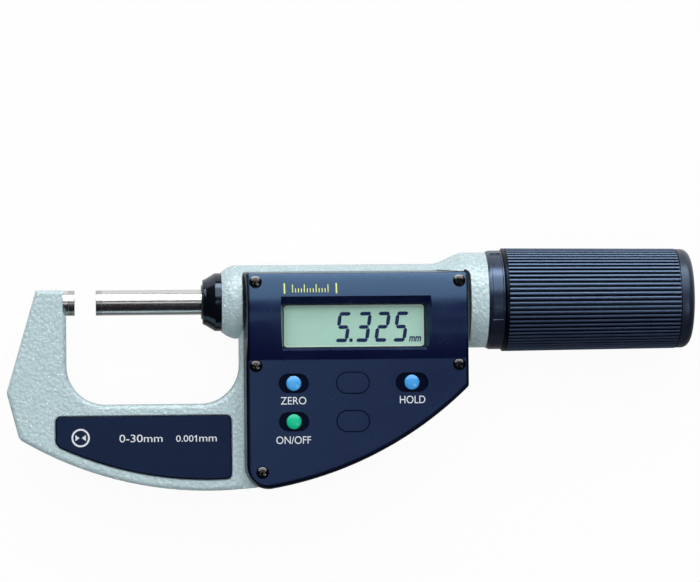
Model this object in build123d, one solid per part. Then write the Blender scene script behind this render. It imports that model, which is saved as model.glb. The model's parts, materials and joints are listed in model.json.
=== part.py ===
from build123d import *
import os
from math import cos, pi, radians, sin, sqrt, tan

# Digital outside micrometer with a spindle that slides without turning.
# All sizes are in millimetres. The origin is the centre of the anvil's measuring face, X runs along
# the spindle towards the thimble, Y across the bow and Z out of the display.

# Measuring line
spindle_dia = 6.35
travel = 30.0
opening = 5.325
tip_length = 1.5
anvil_stand = 3.0
anvil_shank_dia = 4.0
anvil_shank_length = 5.0
running_clearance = 0.03

# Bow of the cast frame
bow_half = 4.8
bow_round = 1.3
arm_top = 3.2
arm_back = -9.7
elbow_x = -17.15
elbow_y = -22.45
elbow_round = 1.6
heel_x = -14.05
heel_round = 2.2
spot_depth = 0.8
spot_radius = 5.2
throat_run = 11.4
throat_floor = -25.7
throat_corner = 9.8
sweep_run = 3.9
sweep_low = -47.55
sweep_radius = 92.45

# Barrel and rear boss of the frame
nose_run = 6.95
nose_radius = 7.6
nose_cone = 3.2
nose_round = 8.0
barrel_radius = 9.3
boss_radius = 12.1
boss_length = 4.47
flare_length = 9.6
stub_radius = 10.0
seat_height = 5.5
shoulder_gap = 0.3

# Nose nut and wiper round the spindle
nut_lip_radius = 5.6
nut_lip_length = 0.8
nut_lip_flare = 0.35
nut_cone_length = 2.3
nut_rim_length = 2.0
nut_radius = 7.35
nut_sunk = 0.4
nut_seat_clearance = 0.1
nut_spigot_length = 3.65
bush_radius = 4.4
bush_length = 10.0
wiper_width = 1.3
wiper_length = 1.9
wiper_stand = 0.35
wiper_clearance = 0.05

# Name plates, front and rear
plate_left = -5.0
plate_right_margin = 2.2
plate_top_margin = 2.8
plate_low_margin = 2.8
plate_thickness = 1.0
plate_stand = 0.5
plate_bevel = 0.4
plate_gap = 0.25
plate_small_round = 1.4
plate_large_round = 2.4

# Guide key and encoder slider on the spindle
slider_length = 14.0
slot_half_width = 2.5
slot_lead = 1.0
slot_end_gap = 0.75
key_side_gap = 0.05
key_flat = 2.6
key_height = 2.0
slider_thickness = 0.6
slider_inset = 0.4
key_screw_dia = 1.4
key_screw_spacing = 8.0
key_screw_depth = 1.4

# Lead screw, drive sleeve and its bearing
screw_radius = 2.7
screw_fit = 0.05
screw_spigot_dia = 3.0
screw_spigot_length = 6.0
nut_length = 10.0
drive_nut_radius = 4.8
nut_entry_gap = 2.3
screw_overrun = 1.7
sleeve_bore = 3.6
pocket_wall = 0.9
bearing_radius = 8.2
bearing_bore = 5.5
bearing_length = 4.2
thrust_gap = 0.05
thrust_ring_length = 1.1
thrust_ring_radius = 7.0
thrust_spigot_radius = 4.9
pocket_front_gap = 0.35
retainer_length = 2.0
retainer_bore = 6.6
hub_radius = 6.3
lock_ring_length = 2.5
lock_ring_bore = 3.4
nut_setback = 2.6

# Friction clutch between the drive sleeve and the thimble
flange_radius = 9.6
flange_length = 1.6
disc_length = 1.0
disc_inset = 0.2
web_length = 2.0
washer_length = 0.6
spring_strip = 0.6
spring_rise = 0.9
spring_nut_length = 3.0
spring_nut_radius = 8.6
sleeve_tail = 1.6

# Sleeve ring, thimble and end cap
ring_length = 4.05
ring_radius = 12.55
ring_fit = 0.02
ring_chamfer = 0.9
ring_panel_depth = 0.3
ring_panel_front = 1.0
ring_panel_rear = 0.4
ring_panel_start = 21.0
ring_panel_sweep = 94.0
thimble_gap = 0.1
thimble_radius_front = 13.1
thimble_radius_rear = 12.7
core_radius = 11.4
core_wall = 1.0
core_setback = 0.4
collar_length = 1.0
collar_chamfer = 0.3
collar_groove = 0.25
collar_groove_depth = 0.35
rib_count = 68
rib_depth = 0.55
rib_crest_share = 0.46
rib_floor_share = 0.28
cap_length = 4.26
cap_radius = 12.6
cap_round = 2.2
cap_dome = 0.5
cap_flat = 4.0
cap_fit = 0.02
cap_edge_gap = 0.25
cap_spigot_length = 4.5
cap_spigot_wall = 1.8
cap_socket = 1.05
screw_tail_gap = 1.2

# Display housing
housing_left_gap = 0.9
housing_right_run = 1.68
housing_top = 7.4
housing_overhang = 0.9
web_right_margin = 0.9
housing_ridge = -14.8
arch_rise = 3.0
housing_draft = 6.0
housing_wall = 1.4
housing_bevel = 0.45
corner_top_left = 0.5
corner_top_right = 1.1
corner_right = 0.65
corner_low_left = 5.5
gasket_thickness = 0.4
gasket_inset = 0.35
gasket_width = 1.6

# Window and display, with the slopes of the bezel's walls
window_left_margin = 9.7
window_length = 35.9
window_top = -0.85
window_width = 11.15
window_round = 0.7
bezel_lip = 0.6
bezel_slope_left = 0.26
bezel_slope_right = 0.58
bezel_slope_top = 0.97
bezel_slope_low = 1.0
lens_thickness = 1.2
lens_lap = 0.9
lens_fit = 0.05
lens_gap = 0.175
surround_lap = 1.9
glass_thickness = 1.6
glass_inset = 0.3
glass_fit = 0.05
holder_wall = 0.9
strip_width = 1.2
strip_height = 0.625
strip_inset = 2.0

# Main board, the encoder's scale board and the chip
scale_thickness = 0.8
scale_half_width = 5.2
scale_lead = 1.4
scale_room = 0.3
board_thickness = 0.8
board_margin = 2.0
board_gap = 0.35
pad_radius = 1.6
pad_left = 7.5
pad_right = 6.0
pad_low_left = 9.5
pad_low_right = 14.5
pad_row = 2.95
pad_drop_left = 21.1
pad_drop_right = 13.4
chip_size = 8.0
chip_height = 1.0

# Buttons
button_radius = 1.85
button_gap = 0.1
button_stand = 0.55
button_dome = 0.45
button_flange_radius = 2.6
button_flange = 0.7
button_play = 0.2
button_travel = 0.5
button_stem_radius = 1.0
button_dome_gap = 0.05
button_column_left = 12.3
button_column_right = 14.88
blank_column = 27.15
button_row = 5.9
button_pitch = 9.6
dish_length = 7.6
dish_length_right = 8.3
dish_width = 4.9
dish_depth = 0.6
blank_length = 8.5
blank_width = 5.6
blank_depth = 0.15
blank_groove = 0.3
dome_radius = 2.2
dome_crown_radius = 1.2
dome_height = 0.4

# Housing screws
screw_head_dia = 2.9
screw_head_height = 0.9
screw_shank_dia = 2.0
screw_bite = 2.0
screw_sink_barrel = 1.45
screw_sink_panel = 0.5
screw_head_gap = 0.15
screw_edge_left = 2.9
screw_edge_right = 2.88
screw_edge_top = 2.75
screw_row = 1.5
screw_low_left = 4.3
screw_low_rise = 3.7
post_radius = 2.2

# Battery and data output in the back of the frame
battery_x = 28.2
battery_y = -25.6
battery_dia = 11.6
battery_height = 5.4
battery_chamfer = 0.4
battery_gap = 0.2
cap_thread_radius = 7.0
cap_thread_length = 1.9
cap_thread_fit = 0.06
cap_flange_radius = 8.2
cap_flange = 0.8
coin_slot = 1.3
seal_height = 1.0
seal_width = 1.0
seal_room = 0.05
contact_strip = 0.3
contact_width = 2.4
contact_room = 0.9
socket_x = 45.2
socket_y = -17.9
socket_length = 8.4
socket_width = 4.2
socket_depth = 4.4
socket_ways = 5
cover_length = 14.0
cover_width = 6.8
cover_thickness = 0.9
cover_sink = 0.45
cover_gap = 0.1
cover_round = 1.1
cover_screw_dia = 1.6
cover_screw_head = 2.6
cover_screw_head_height = 0.7
cover_screw_inset = 1.5
cover_screw_length = 3.0

# How far a cutting shape runs past the surface it opens
past = 1.0

# Places along the spindle axis that follow from the sizes above
spindle_radius = spindle_dia / 2
retract = travel - opening
nose_x = travel + nose_run
nut_rear = nose_x + nut_sunk
nut_front = nut_rear - nut_rim_length - nut_cone_length - nut_lip_length
throat_left = spot_depth - anvil_stand
throat_right = travel + throat_run
housing_left = throat_right + housing_left_gap
bush_front = nut_rear + nut_spigot_length
bush_rear = bush_front + bush_length
slot_front = bush_rear + slot_lead
slider_front = slot_front + slot_end_gap + opening
slider_rear = slider_front + slider_length
slot_rear = slider_rear + retract + slot_end_gap
housing_right = slot_rear + housing_right_run
seat_rear = housing_right + shoulder_gap
pocket_front = seat_rear + pocket_wall
thrust_front = pocket_front + pocket_front_gap
bearing_front = thrust_front + thrust_ring_length + thrust_gap
bearing_rear = bearing_front + bearing_length
stub_rear = bearing_rear + retainer_length
boss_rear = seat_rear + boss_length
thimble_front = boss_rear + ring_length + thimble_gap
drive_nut_front = thimble_front + nut_setback
drive_nut_rear = drive_nut_front + nut_length
rod_rear = drive_nut_front - retract - nut_entry_gap
screw_rear = drive_nut_rear + opening + screw_overrun
flange_rear = drive_nut_rear + lock_ring_length
flange_front = flange_rear - flange_length
disc_rear = flange_rear + disc_length
web_rear = disc_rear + web_length
washer_rear = web_rear + washer_length
springs_rear = washer_rear + 2 * (spring_strip + spring_rise)
spring_nut_rear = springs_rear + spring_nut_length
sleeve_rear = spring_nut_rear + sleeve_tail
thimble_rear = screw_rear + retract + screw_tail_gap - cap_socket
web_right = housing_right - web_right_margin
sweep_x = travel + sweep_run
sweep_y = sweep_low + sweep_radius

# Heights through the housing and the window's outline, which follow too
housing_base = seat_height + gasket_thickness
board_height = seat_height + scale_thickness + scale_room
board_top = board_height + board_thickness
glass_low = board_top + strip_height
glass_top = glass_low + glass_thickness
lens_low = glass_top + lens_gap
panel_height = lens_low + lens_thickness
window_floor = panel_height + bezel_lip
crest_height = panel_height + arch_rise
crest_y = (housing_top + housing_ridge) / 2
draft_run = (panel_height - housing_base) * tan(radians(housing_draft))
window_left = housing_left + window_left_margin
window_right = window_left + window_length
window_low = window_top - window_width


def turned(*points):
    """Solid of revolution about the spindle axis, from (x, radius) points."""
    return revolve(make_face(Polyline(*points, close=True)), Axis.X)


def tube(front, rear, outer, inner=0.0):
    """Straight tube or rod on the spindle axis."""
    return turned((front, inner), (front, outer), (rear, outer), (rear, inner))


def slab(face, low, high):
    """Flat outline raised from one height to another."""
    return extrude(Pos(0, 0, low) * face, high - low, dir=(0, 0, 1))


def rod(x, y, low, high, radius):
    """Upright round rod."""
    return Pos(x, y, (low + high) / 2) * Cylinder(radius, high - low)


def block(x_low, x_high, y_low, y_high, z_low, z_high):
    """Square-edged block between its lowest and highest corners."""
    size = (x_high - x_low, y_high - y_low, z_high - z_low)
    return Pos(x_low, y_low, z_low) * Box(*size, align=(Align.MIN, Align.MIN, Align.MIN))


def rounded(face, x, y, radius):
    """Round the corner of a flat outline that lies nearest to a point."""
    corner = face.vertices().sort_by_distance((x, y, 0))[0]
    return fillet(corner, radius)


def crown(radius, low, high):
    """Arc of a shallow dome in section, from its rim to its top on the axis."""
    rise = high - low
    ball = (radius ** 2 + rise ** 2) / (2 * rise)
    middle = high - ball + sqrt(ball ** 2 - radius ** 2 / 4)
    return ThreePointArc((radius, low), (radius / 2, middle), (0, high))


def stadium(x, y, length, width):
    """Flat stadium outline centred on a point."""
    return Pos(x, y) * SlotOverall(length, width)


def sweep_at(x, inset=0.0):
    """Height of the frame's curved lower edge at x, drawn in by inset."""
    return sweep_y - sqrt((sweep_radius - inset) ** 2 - (x - sweep_x) ** 2)


def sweep_arc(x_from, x_to, inset=0.0):
    """Part of the curved lower edge of the frame, drawn in by inset."""
    middle = (x_from + x_to) / 2
    return ThreePointArc(*((x, sweep_at(x, inset)) for x in (x_from, middle, x_to)))


def frame_outline():
    """Outline of the casting from the front: arm, throat and the web behind the display."""
    top = Polyline(
        (heel_x, sweep_at(heel_x)),
        (elbow_x, elbow_y),
        (arm_back, arm_top),
        (throat_left, arm_top),
        (throat_left, throat_floor),
        (throat_right, throat_floor),
        (throat_right, 0),
        (web_right, 0),
        (web_right, sweep_at(web_right)),
    )
    face = make_face(top + sweep_arc(web_right, heel_x))
    face = rounded(face, throat_left, throat_floor, throat_corner)
    face = rounded(face, throat_right, throat_floor, throat_corner)
    face = rounded(face, elbow_x, elbow_y, elbow_round)
    face = rounded(face, heel_x, sweep_at(heel_x), heel_round)
    return rounded(face, web_right, sweep_at(web_right), corner_right + draft_run)


def housing_outline():
    """Outline of the foot of the display housing."""
    low = -housing_overhang
    sides = Polyline(
        (housing_right, sweep_at(housing_right, low)),
        (housing_right, housing_top),
        (housing_left, housing_top),
        (housing_left, sweep_at(housing_left, low)),
    )
    face = make_face(sides + sweep_arc(housing_left, housing_right, low))
    face = rounded(face, housing_left, housing_top, corner_top_left + draft_run)
    face = rounded(face, housing_right, housing_top, corner_top_right + draft_run)
    face = rounded(face, housing_right, sweep_at(housing_right, low), corner_right + draft_run)
    return rounded(face, housing_left, sweep_at(housing_left, low), corner_low_left + draft_run)


def plate_outline():
    """Outline of a name plate: straight top and sides, lower edge parallel to the frame's."""
    right = throat_right - plate_right_margin
    top = throat_floor - plate_top_margin
    sides = Polyline(
        (plate_left, sweep_at(plate_left, plate_low_margin)),
        (plate_left, top),
        (right, top),
        (right, sweep_at(right, plate_low_margin)),
    )
    face = make_face(sides + sweep_arc(right, plate_left, plate_low_margin))
    face = rounded(face, plate_left, top, plate_small_round)
    face = rounded(face, right, top, plate_small_round)
    face = rounded(face, right, sweep_at(right, plate_low_margin), plate_small_round)
    return rounded(face, plate_left, sweep_at(plate_left, plate_low_margin), plate_large_round)


def bow():
    """Flat bow of the casting with its edges rounded, and the thicker web beside it."""
    outline = frame_outline()
    body = slab(outline, -bow_half, bow_half)
    rims = body.faces().filter_by(Axis.Z).edges()
    body = fillet(rims, bow_round)
    reach = block(housing_left - shoulder_gap, web_right, sweep_low - past, 0, 0, seat_height)
    return body + (slab(outline, 0, seat_height) & reach)


def barrel():
    """Turned barrel of the casting: nose cone, barrel, flare, rear boss and stub."""
    flare_rear = housing_right
    flare_front = flare_rear - flare_length
    nose_rear = nose_x + nose_cone
    nose = Polyline((stub_rear, 0), (nose_x, 0), (nose_x, nose_radius))
    nose += RadiusArc((nose_x, nose_radius), (nose_rear, barrel_radius), nose_round)
    front = nose + Line((nose_rear, barrel_radius), (flare_front, barrel_radius))
    flare = Spline((flare_front, barrel_radius), (flare_rear, boss_radius), tangents=[(1, 0), (1, 0)])
    rear = Polyline(
        (flare_rear, boss_radius), (boss_rear, boss_radius), (boss_rear, stub_radius),
        (stub_rear, stub_radius), (stub_rear, 0),
    )
    body = revolve(make_face(front + flare + rear), Axis.X)
    seat = offset(housing_outline(), shoulder_gap)
    return body - slab(seat, seat_height, boss_radius + past)


def screw_places():
    """Axis (x, y) and head seat of each housing screw, two on the barrel and three below."""
    left = housing_left + screw_edge_left
    right = housing_right - screw_edge_right
    top = housing_top - screw_edge_top
    row = housing_ridge - screw_row
    low_x = housing_left + screw_low_left
    low_y = sweep_at(low_x, screw_low_rise)
    return [
        (left, top, crest_height - screw_sink_barrel),
        (right, top, crest_height - screw_sink_barrel),
        (left, row, panel_height - screw_sink_panel),
        (right, row, panel_height - screw_sink_panel),
        (low_x, low_y, panel_height - screw_sink_panel),
    ]


def spindle_bores():
    """Bores along the measuring line: anvil seat, nose, guide bush, rod way and bearing pocket."""
    anvil_end = anvil_stand + anvil_shank_length
    bores = tube(-anvil_end, -anvil_stand, anvil_shank_dia / 2)
    bores += tube(-anvil_stand, throat_left + spot_depth, spot_radius)
    bores += tube(nose_x - past, nut_rear, nut_radius + nut_seat_clearance)
    bores += tube(nose_x, bush_rear, bush_radius)
    bores += tube(bush_rear - past, pocket_front + past, sleeve_bore)
    return bores + tube(pocket_front, stub_rear + past, bearing_radius)


def board_pads():
    """Centres of the raised pads that carry the main board."""
    row = housing_ridge + pad_row
    return [
        (housing_left + pad_left, row),
        (housing_right - pad_right, row),
        (housing_left + pad_low_left, row - pad_drop_left),
        (housing_right - pad_low_right, row - pad_drop_right),
    ]


def battery_well():
    """Bore for the cell, the threaded mouth of its cap and the passage for its contacts."""
    x = housing_left + battery_x
    mouth = -bow_half + cap_thread_length + battery_gap
    floor = mouth + battery_height + battery_gap
    well = rod(x, battery_y, -bow_half - past, mouth, cap_thread_radius + cap_thread_fit)
    well += rod(x, battery_y, mouth - past, floor, battery_dia / 2 + battery_gap)
    half = contact_width / 2 + battery_gap
    side = battery_dia / 2 + battery_gap + contact_strip + battery_gap
    y_low, y_high = battery_y - half, battery_y + half
    return well + block(x - half, x + side, y_low, y_high, mouth + past, seat_height + past)


def socket_well():
    """Pocket for the data connector and the shallow recess for its cover."""
    x = housing_left + socket_x
    half_x = socket_length / 2 + cover_gap
    half_y = socket_width / 2 + cover_gap
    back = -bow_half + cover_sink
    low, high = socket_y - half_y, socket_y + half_y
    well = block(x - half_x, x + half_x, low, high, back - past, back + socket_depth)
    well += slab(cover_outline(cover_gap), -bow_half - past, back)
    for screw_x in cover_screw_places():
        well += rod(screw_x, socket_y, back - past, back + cover_screw_length, cover_screw_dia / 2)
    return well


def cover_outline(grow):
    """Rounded outline of the data cover, grown all round."""
    lid = RectangleRounded(cover_length + 2 * grow, cover_width + 2 * grow, cover_round + grow)
    return Pos(housing_left + socket_x, socket_y) * lid


def cover_screw_places():
    """Positions along x of the two screws of the data cover."""
    reach = cover_length / 2 - cover_screw_inset
    return [housing_left + socket_x - reach, housing_left + socket_x + reach]


def frame():
    """Cast C-frame with its bores, guide slot, plate recesses, wells, screw holes and board pads."""
    body = bow() + barrel()
    body -= spindle_bores()
    body -= block(slot_front, slot_rear, -slot_half_width, slot_half_width, 0, seat_height + past)
    recess = offset(plate_outline(), plate_gap)
    sunk = plate_thickness - plate_stand
    body -= slab(recess, bow_half - sunk, bow_half + past)
    body -= slab(recess, -bow_half - past, sunk - bow_half)
    for x, y, seat in screw_places():
        hole_floor = seat_height - screw_bite - screw_head_gap
        body -= rod(x, y, hole_floor, seat_height + past, screw_shank_dia / 2)
    body -= battery_well()
    body -= socket_well()
    for x, y in board_pads():
        body += rod(x, y, seat_height, board_height, pad_radius)
    return body


def anvil():
    """Fixed anvil: stepped steel pin pressed into the arm."""
    end = anvil_stand + anvil_shank_length
    return turned(
        (-end, 0), (-end, anvil_shank_dia / 2), (-anvil_stand, anvil_shank_dia / 2),
        (-anvil_stand, spindle_radius), (-tip_length, spindle_radius), (-tip_length, 0),
    )


def anvil_tip():
    """Carbide face of the anvil."""
    return tube(-tip_length, 0, spindle_radius)


def spindle_nut():
    """Black cone nut that closes the nose and holds the wiper."""
    bore = spindle_radius + nut_seat_clearance
    cone_front = nut_front + nut_lip_length
    cone_rear = cone_front + nut_cone_length
    wiper_seat = spindle_radius + wiper_clearance + wiper_width
    wiper_rear = nut_front - wiper_stand + wiper_length
    return turned(
        (nut_front, wiper_seat), (nut_front, nut_lip_radius), (cone_front, nut_lip_radius + nut_lip_flare),
        (cone_rear, nut_radius), (nut_rear, nut_radius), (nut_rear, bush_radius),
        (bush_front, bush_radius), (bush_front, bore), (wiper_rear, bore), (wiper_rear, wiper_seat),
    )


def spindle_wiper():
    """Felt and rubber ring that wipes the spindle clean."""
    front = nut_front - wiper_stand
    bore = spindle_radius + wiper_clearance
    outer = bore + wiper_width
    return turned(
        (front, bore), (front, outer - wiper_stand), (nut_front, outer),
        (front + wiper_length, outer), (front + wiper_length, bore),
    )


def guide_bush():
    """Lapped guide bush in the front of the barrel."""
    return tube(bush_front, bush_rear, bush_radius, spindle_radius + running_clearance)


def name_plate():
    """Bare name plate with a bevelled rim, lying in its recess on the front of the bow."""
    back = bow_half + plate_stand - plate_thickness
    body = slab(plate_outline(), back, bow_half + plate_stand)
    return chamfer(body.faces().sort_by(Axis.Z)[-1].edges(), plate_bevel)


def spindle():
    """Ground spindle rod with the flat for its key and the bore for the lead screw's spigot."""
    front = opening + tip_length
    body = tube(front, rod_rear, spindle_radius)
    body -= tube(rod_rear - screw_spigot_length, rod_rear + past, screw_spigot_dia / 2)
    high = spindle_radius + past
    body -= block(slider_front, slider_rear, -spindle_radius, spindle_radius, key_flat, high)
    for x in key_screw_places():
        body -= rod(x, 0, key_flat - key_screw_depth, key_flat + past, key_screw_dia / 2)
    return body


def key_screw_places():
    """Positions along x of the two screws of the guide key."""
    middle = (slider_front + slider_rear) / 2
    return [middle - key_screw_spacing / 2, middle + key_screw_spacing / 2]


def spindle_tip():
    """Carbide face of the spindle."""
    return tube(opening, opening + tip_length, spindle_radius)


def lead_screw():
    """Multi-start lead screw on the rear of the spindle."""
    spigot = rod_rear - screw_spigot_length
    return turned(
        (spigot, 0), (spigot, screw_spigot_dia / 2), (rod_rear, screw_spigot_dia / 2),
        (rod_rear, screw_radius), (screw_rear, screw_radius), (screw_rear, 0),
    )


def guide_key():
    """Steel key on the spindle's flat that runs in the barrel's slot and stops the spindle turning."""
    half = slot_half_width - key_side_gap
    body = block(slider_front, slider_rear, -half, half, key_flat, key_flat + key_height)
    for x in key_screw_places():
        body -= rod(x, 0, key_flat - past, key_flat + key_height + past, key_screw_dia / 2)
    return body


def key_screws():
    """Two grub-headed screws that hold the guide key to the spindle."""
    low = key_flat - key_screw_depth
    screws = [rod(x, 0, low, key_flat + key_height, key_screw_dia / 2) for x in key_screw_places()]
    return Compound(children=screws)


def encoder_slider():
    """Coded strip that travels with the spindle under the fixed scale board."""
    low = key_flat + key_height
    half = slot_half_width - 2 * key_side_gap
    return block(
        slider_front + slider_inset, slider_rear - slider_inset, -half, half, low, low + slider_thickness
    )


def drive_bearing():
    """Bronze bearing bush of the drive sleeve, in the rear boss."""
    return tube(bearing_front, bearing_rear, bearing_radius, bearing_bore)


def bearing_retainer():
    """Threaded ring that shuts the bearing pocket."""
    return tube(bearing_rear, stub_rear, bearing_radius, retainer_bore)


def thrust_ring():
    """Ring on the front of the drive sleeve that takes the pull of the screw."""
    return tube(thrust_front, thrust_front + thrust_ring_length, thrust_ring_radius, thrust_spigot_radius)


def drive_sleeve():
    """Stepped sleeve that the thimble turns and that carries the drive nut and the clutch."""
    journal = bearing_bore - running_clearance
    step = thrust_front + thrust_ring_length
    hub_front = bearing_rear + thrust_gap
    return turned(
        (thrust_front, sleeve_bore), (thrust_front, thrust_spigot_radius), (step, thrust_spigot_radius),
        (step, journal), (hub_front, journal), (hub_front, hub_radius), (flange_front, hub_radius),
        (flange_front, flange_radius), (flange_rear, flange_radius), (flange_rear, hub_radius),
        (sleeve_rear, hub_radius), (sleeve_rear, drive_nut_radius), (drive_nut_front, drive_nut_radius),
        (drive_nut_front, sleeve_bore),
    )


def drive_nut():
    """Bronze nut of the lead screw, inside the drive sleeve."""
    return tube(drive_nut_front, drive_nut_rear, drive_nut_radius, screw_radius + screw_fit)


def nut_lock_ring():
    """Ring that locks the drive nut in its sleeve."""
    return tube(drive_nut_rear, flange_rear, drive_nut_radius, lock_ring_bore)


def clutch_disc():
    """Fibre friction disc between the sleeve's flange and the thimble's web."""
    return tube(flange_rear, disc_rear, flange_radius - disc_inset, hub_radius)


def pressure_washer():
    """Flat steel washer behind the thimble's web."""
    return tube(web_rear, washer_rear, flange_radius - disc_inset, hub_radius)


def disc_springs():
    """Two coned spring washers set back to back, which load the clutch."""
    outer = spring_nut_radius
    middle = washer_rear + spring_strip + spring_rise
    rear_spring = turned(
        (middle, outer), (middle + spring_strip, outer),
        (springs_rear, hub_radius), (springs_rear - spring_strip, hub_radius),
    )
    front_spring = turned(
        (middle, outer), (middle - spring_strip, outer),
        (washer_rear, hub_radius), (washer_rear + spring_strip, hub_radius),
    )
    return Compound(children=[front_spring, rear_spring])


def spring_nut():
    """Round nut that sets the clutch's load."""
    return tube(springs_rear, spring_nut_rear, spring_nut_radius, hub_radius)


def thimble():
    """Thin core of the thimble with the web that the clutch grips."""
    front = thimble_front + core_setback
    inner = core_radius - core_wall
    return turned(
        (front, inner), (front, core_radius), (thimble_rear, core_radius), (thimble_rear, inner),
        (web_rear, inner), (web_rear, hub_radius + running_clearance + thrust_gap),
        (disc_rear, hub_radius + running_clearance + thrust_gap), (disc_rear, inner),
    )


def rib_section(radius, x):
    """Toothed outline of the ribbed grip at x, for a crest radius."""
    pitch = 2 * pi / rib_count
    crest = rib_crest_share * pitch / 2
    floor = rib_floor_share * pitch / 2
    points = []
    for index in range(rib_count):
        angle = index * pitch
        middle = angle + pitch / 2
        for turn in (angle - crest, angle + crest):
            points.append((x, radius * cos(turn), radius * sin(turn)))
        for turn in (middle - floor, middle + floor):
            points.append((x, (radius - rib_depth) * cos(turn), (radius - rib_depth) * sin(turn)))
    return Wire.make_polygon(points, close=True)


def thimble_grip():
    """Moulded grip: a plain collar in front and straight ribs along its slight taper."""
    collar_rear = thimble_front + collar_length
    share = collar_length / (thimble_rear - thimble_front)
    start = thimble_radius_front + share * (thimble_radius_rear - thimble_radius_front)
    sections = [rib_section(start, collar_rear), rib_section(thimble_radius_rear, thimble_rear)]
    ribs = Solid.make_loft(sections, True)
    groove_front = collar_rear - collar_groove
    groove_floor = thimble_radius_front - collar_groove_depth
    collar = turned(
        (thimble_front, 0), (thimble_front, thimble_radius_front - collar_chamfer),
        (thimble_front + collar_chamfer, thimble_radius_front), (groove_front, thimble_radius_front),
        (groove_front, groove_floor), (collar_rear, groove_floor), (collar_rear, 0),
    )
    return collar + ribs - tube(thimble_front - past, thimble_rear + past, core_radius)


def end_cap():
    """Domed cap pressed into the rear of the thimble, hollow for the retracted screw."""
    rear = thimble_rear + cap_length
    spigot_front = thimble_rear - cap_spigot_length
    spigot = core_radius - core_wall - cap_fit
    cavity = spigot - cap_spigot_wall
    shoulder = rear - cap_dome
    outline = Polyline(
        (shoulder - cap_round, cap_radius),
        (thimble_rear + cap_edge_gap, cap_radius), (thimble_rear + cap_edge_gap, cap_radius - rib_depth),
        (thimble_rear, cap_radius - rib_depth), (thimble_rear, spigot), (spigot_front, spigot),
        (spigot_front, cavity), (thimble_rear + cap_socket, cavity), (thimble_rear + cap_socket, 0),
        (rear, 0), (rear, cap_flat), (shoulder, cap_radius - cap_round),
    )
    edge = RadiusArc((shoulder, cap_radius - cap_round), (shoulder - cap_round, cap_radius), cap_round)
    return revolve(make_face(outline + edge), Axis.X)


def sleeve_ring():
    """Fixed ring on the frame's stub, with a shallow panel let into its front quarter."""
    rear = boss_rear + ring_length
    bore = stub_radius + ring_fit
    body = turned(
        (boss_rear, bore), (boss_rear, ring_radius - ring_chamfer / 2),
        (boss_rear + ring_chamfer, ring_radius), (rear, ring_radius), (rear, bore),
    )
    floor = ring_radius - ring_panel_depth
    panel = make_face(Polyline(
        (boss_rear + ring_panel_front, floor), (boss_rear + ring_panel_front, ring_radius + past),
        (rear - ring_panel_rear, ring_radius + past), (rear - ring_panel_rear, floor), close=True,
    ))
    return body - Rot(X=ring_panel_start) * revolve(panel, Axis.X, ring_panel_sweep)


def housing_block(inset, base, drop):
    """Solid form of the housing, drawn in by a wall and lowered by a roof thickness."""
    outline = housing_outline()
    if inset:
        outline = offset(outline, -inset)
    walls = extrude(Pos(0, 0, base) * outline, crest_height, taper=housing_draft)
    low = sweep_low - housing_overhang - past
    high = housing_top + past
    panel = panel_height - drop
    crest = crest_height - drop
    edge = Polyline(
        (housing_top, panel), (high, panel), (high, base - past), (low, base - past),
        (low, panel), (housing_ridge, panel),
    )
    arch = ThreePointArc((housing_ridge, panel), (crest_y, crest), (housing_top, panel))
    roof = extrude(Plane.YZ * make_face(edge + arch), housing_right + past, dir=(1, 0, 0))
    return walls & roof


def upper_rim(body):
    """Edges round the top of the housing block and the crease across it, without the upright corners."""
    rim = []
    for edge in body.edges():
        upright = abs(edge.tangent_at(0.5).Z) > 0.9
        if edge.center().Z > housing_base + past and not upright:
            rim.append(edge)
    return rim


def frustum(low_size, low_z, high_size, high_z):
    """Four-sided pocket with sloping walls, from (left, right, bottom, top) at two heights."""
    faces = []
    for (left, right, bottom, top), z in ((low_size, low_z), (high_size, high_z)):
        corners = [(left, bottom, z), (right, bottom, z), (right, top, z), (left, top, z)]
        faces.append(Wire.make_polygon(corners, close=True))
    return Solid.make_loft(faces, True)


def window_pocket():
    """Sloping pocket from the crown of the housing down to the window, and the sight hole below."""
    depth = crest_height - window_floor
    glass = (window_left, window_right, window_low, window_top)
    mouth = (
        window_left - bezel_slope_left * depth, window_right + bezel_slope_right * depth,
        window_low - bezel_slope_low * depth, window_top + bezel_slope_top * depth,
    )
    hole = RectangleRounded(window_length, window_width, window_round)
    hole = Pos((window_left + window_right) / 2, (window_low + window_top) / 2) * hole
    return frustum(glass, window_floor, mouth, crest_height) + slab(hole, lens_low, window_floor + lens_fit)


def lens_block(grow, low, high):
    """Block with the outline of the window lens, grown all round."""
    lap = lens_lap + grow
    return block(window_left - lap, window_right + lap, window_low - lap, window_top + lap, low, high)


def dish(x, y, length, width, depth):
    """Stadium recess in the flat panel of the housing."""
    return slab(stadium(x, y, length, width), panel_height - depth, panel_height + past)


def button_places():
    """Centre and dish length of each button: zero, on and off, hold."""
    left = housing_left + button_column_left
    right = housing_right - button_column_right
    row = housing_ridge - button_row
    return {
        "zero_button": (left, row, dish_length),
        "on_off_button": (left, row - button_pitch, dish_length),
        "hold_button": (right, row, dish_length_right),
    }


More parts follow.
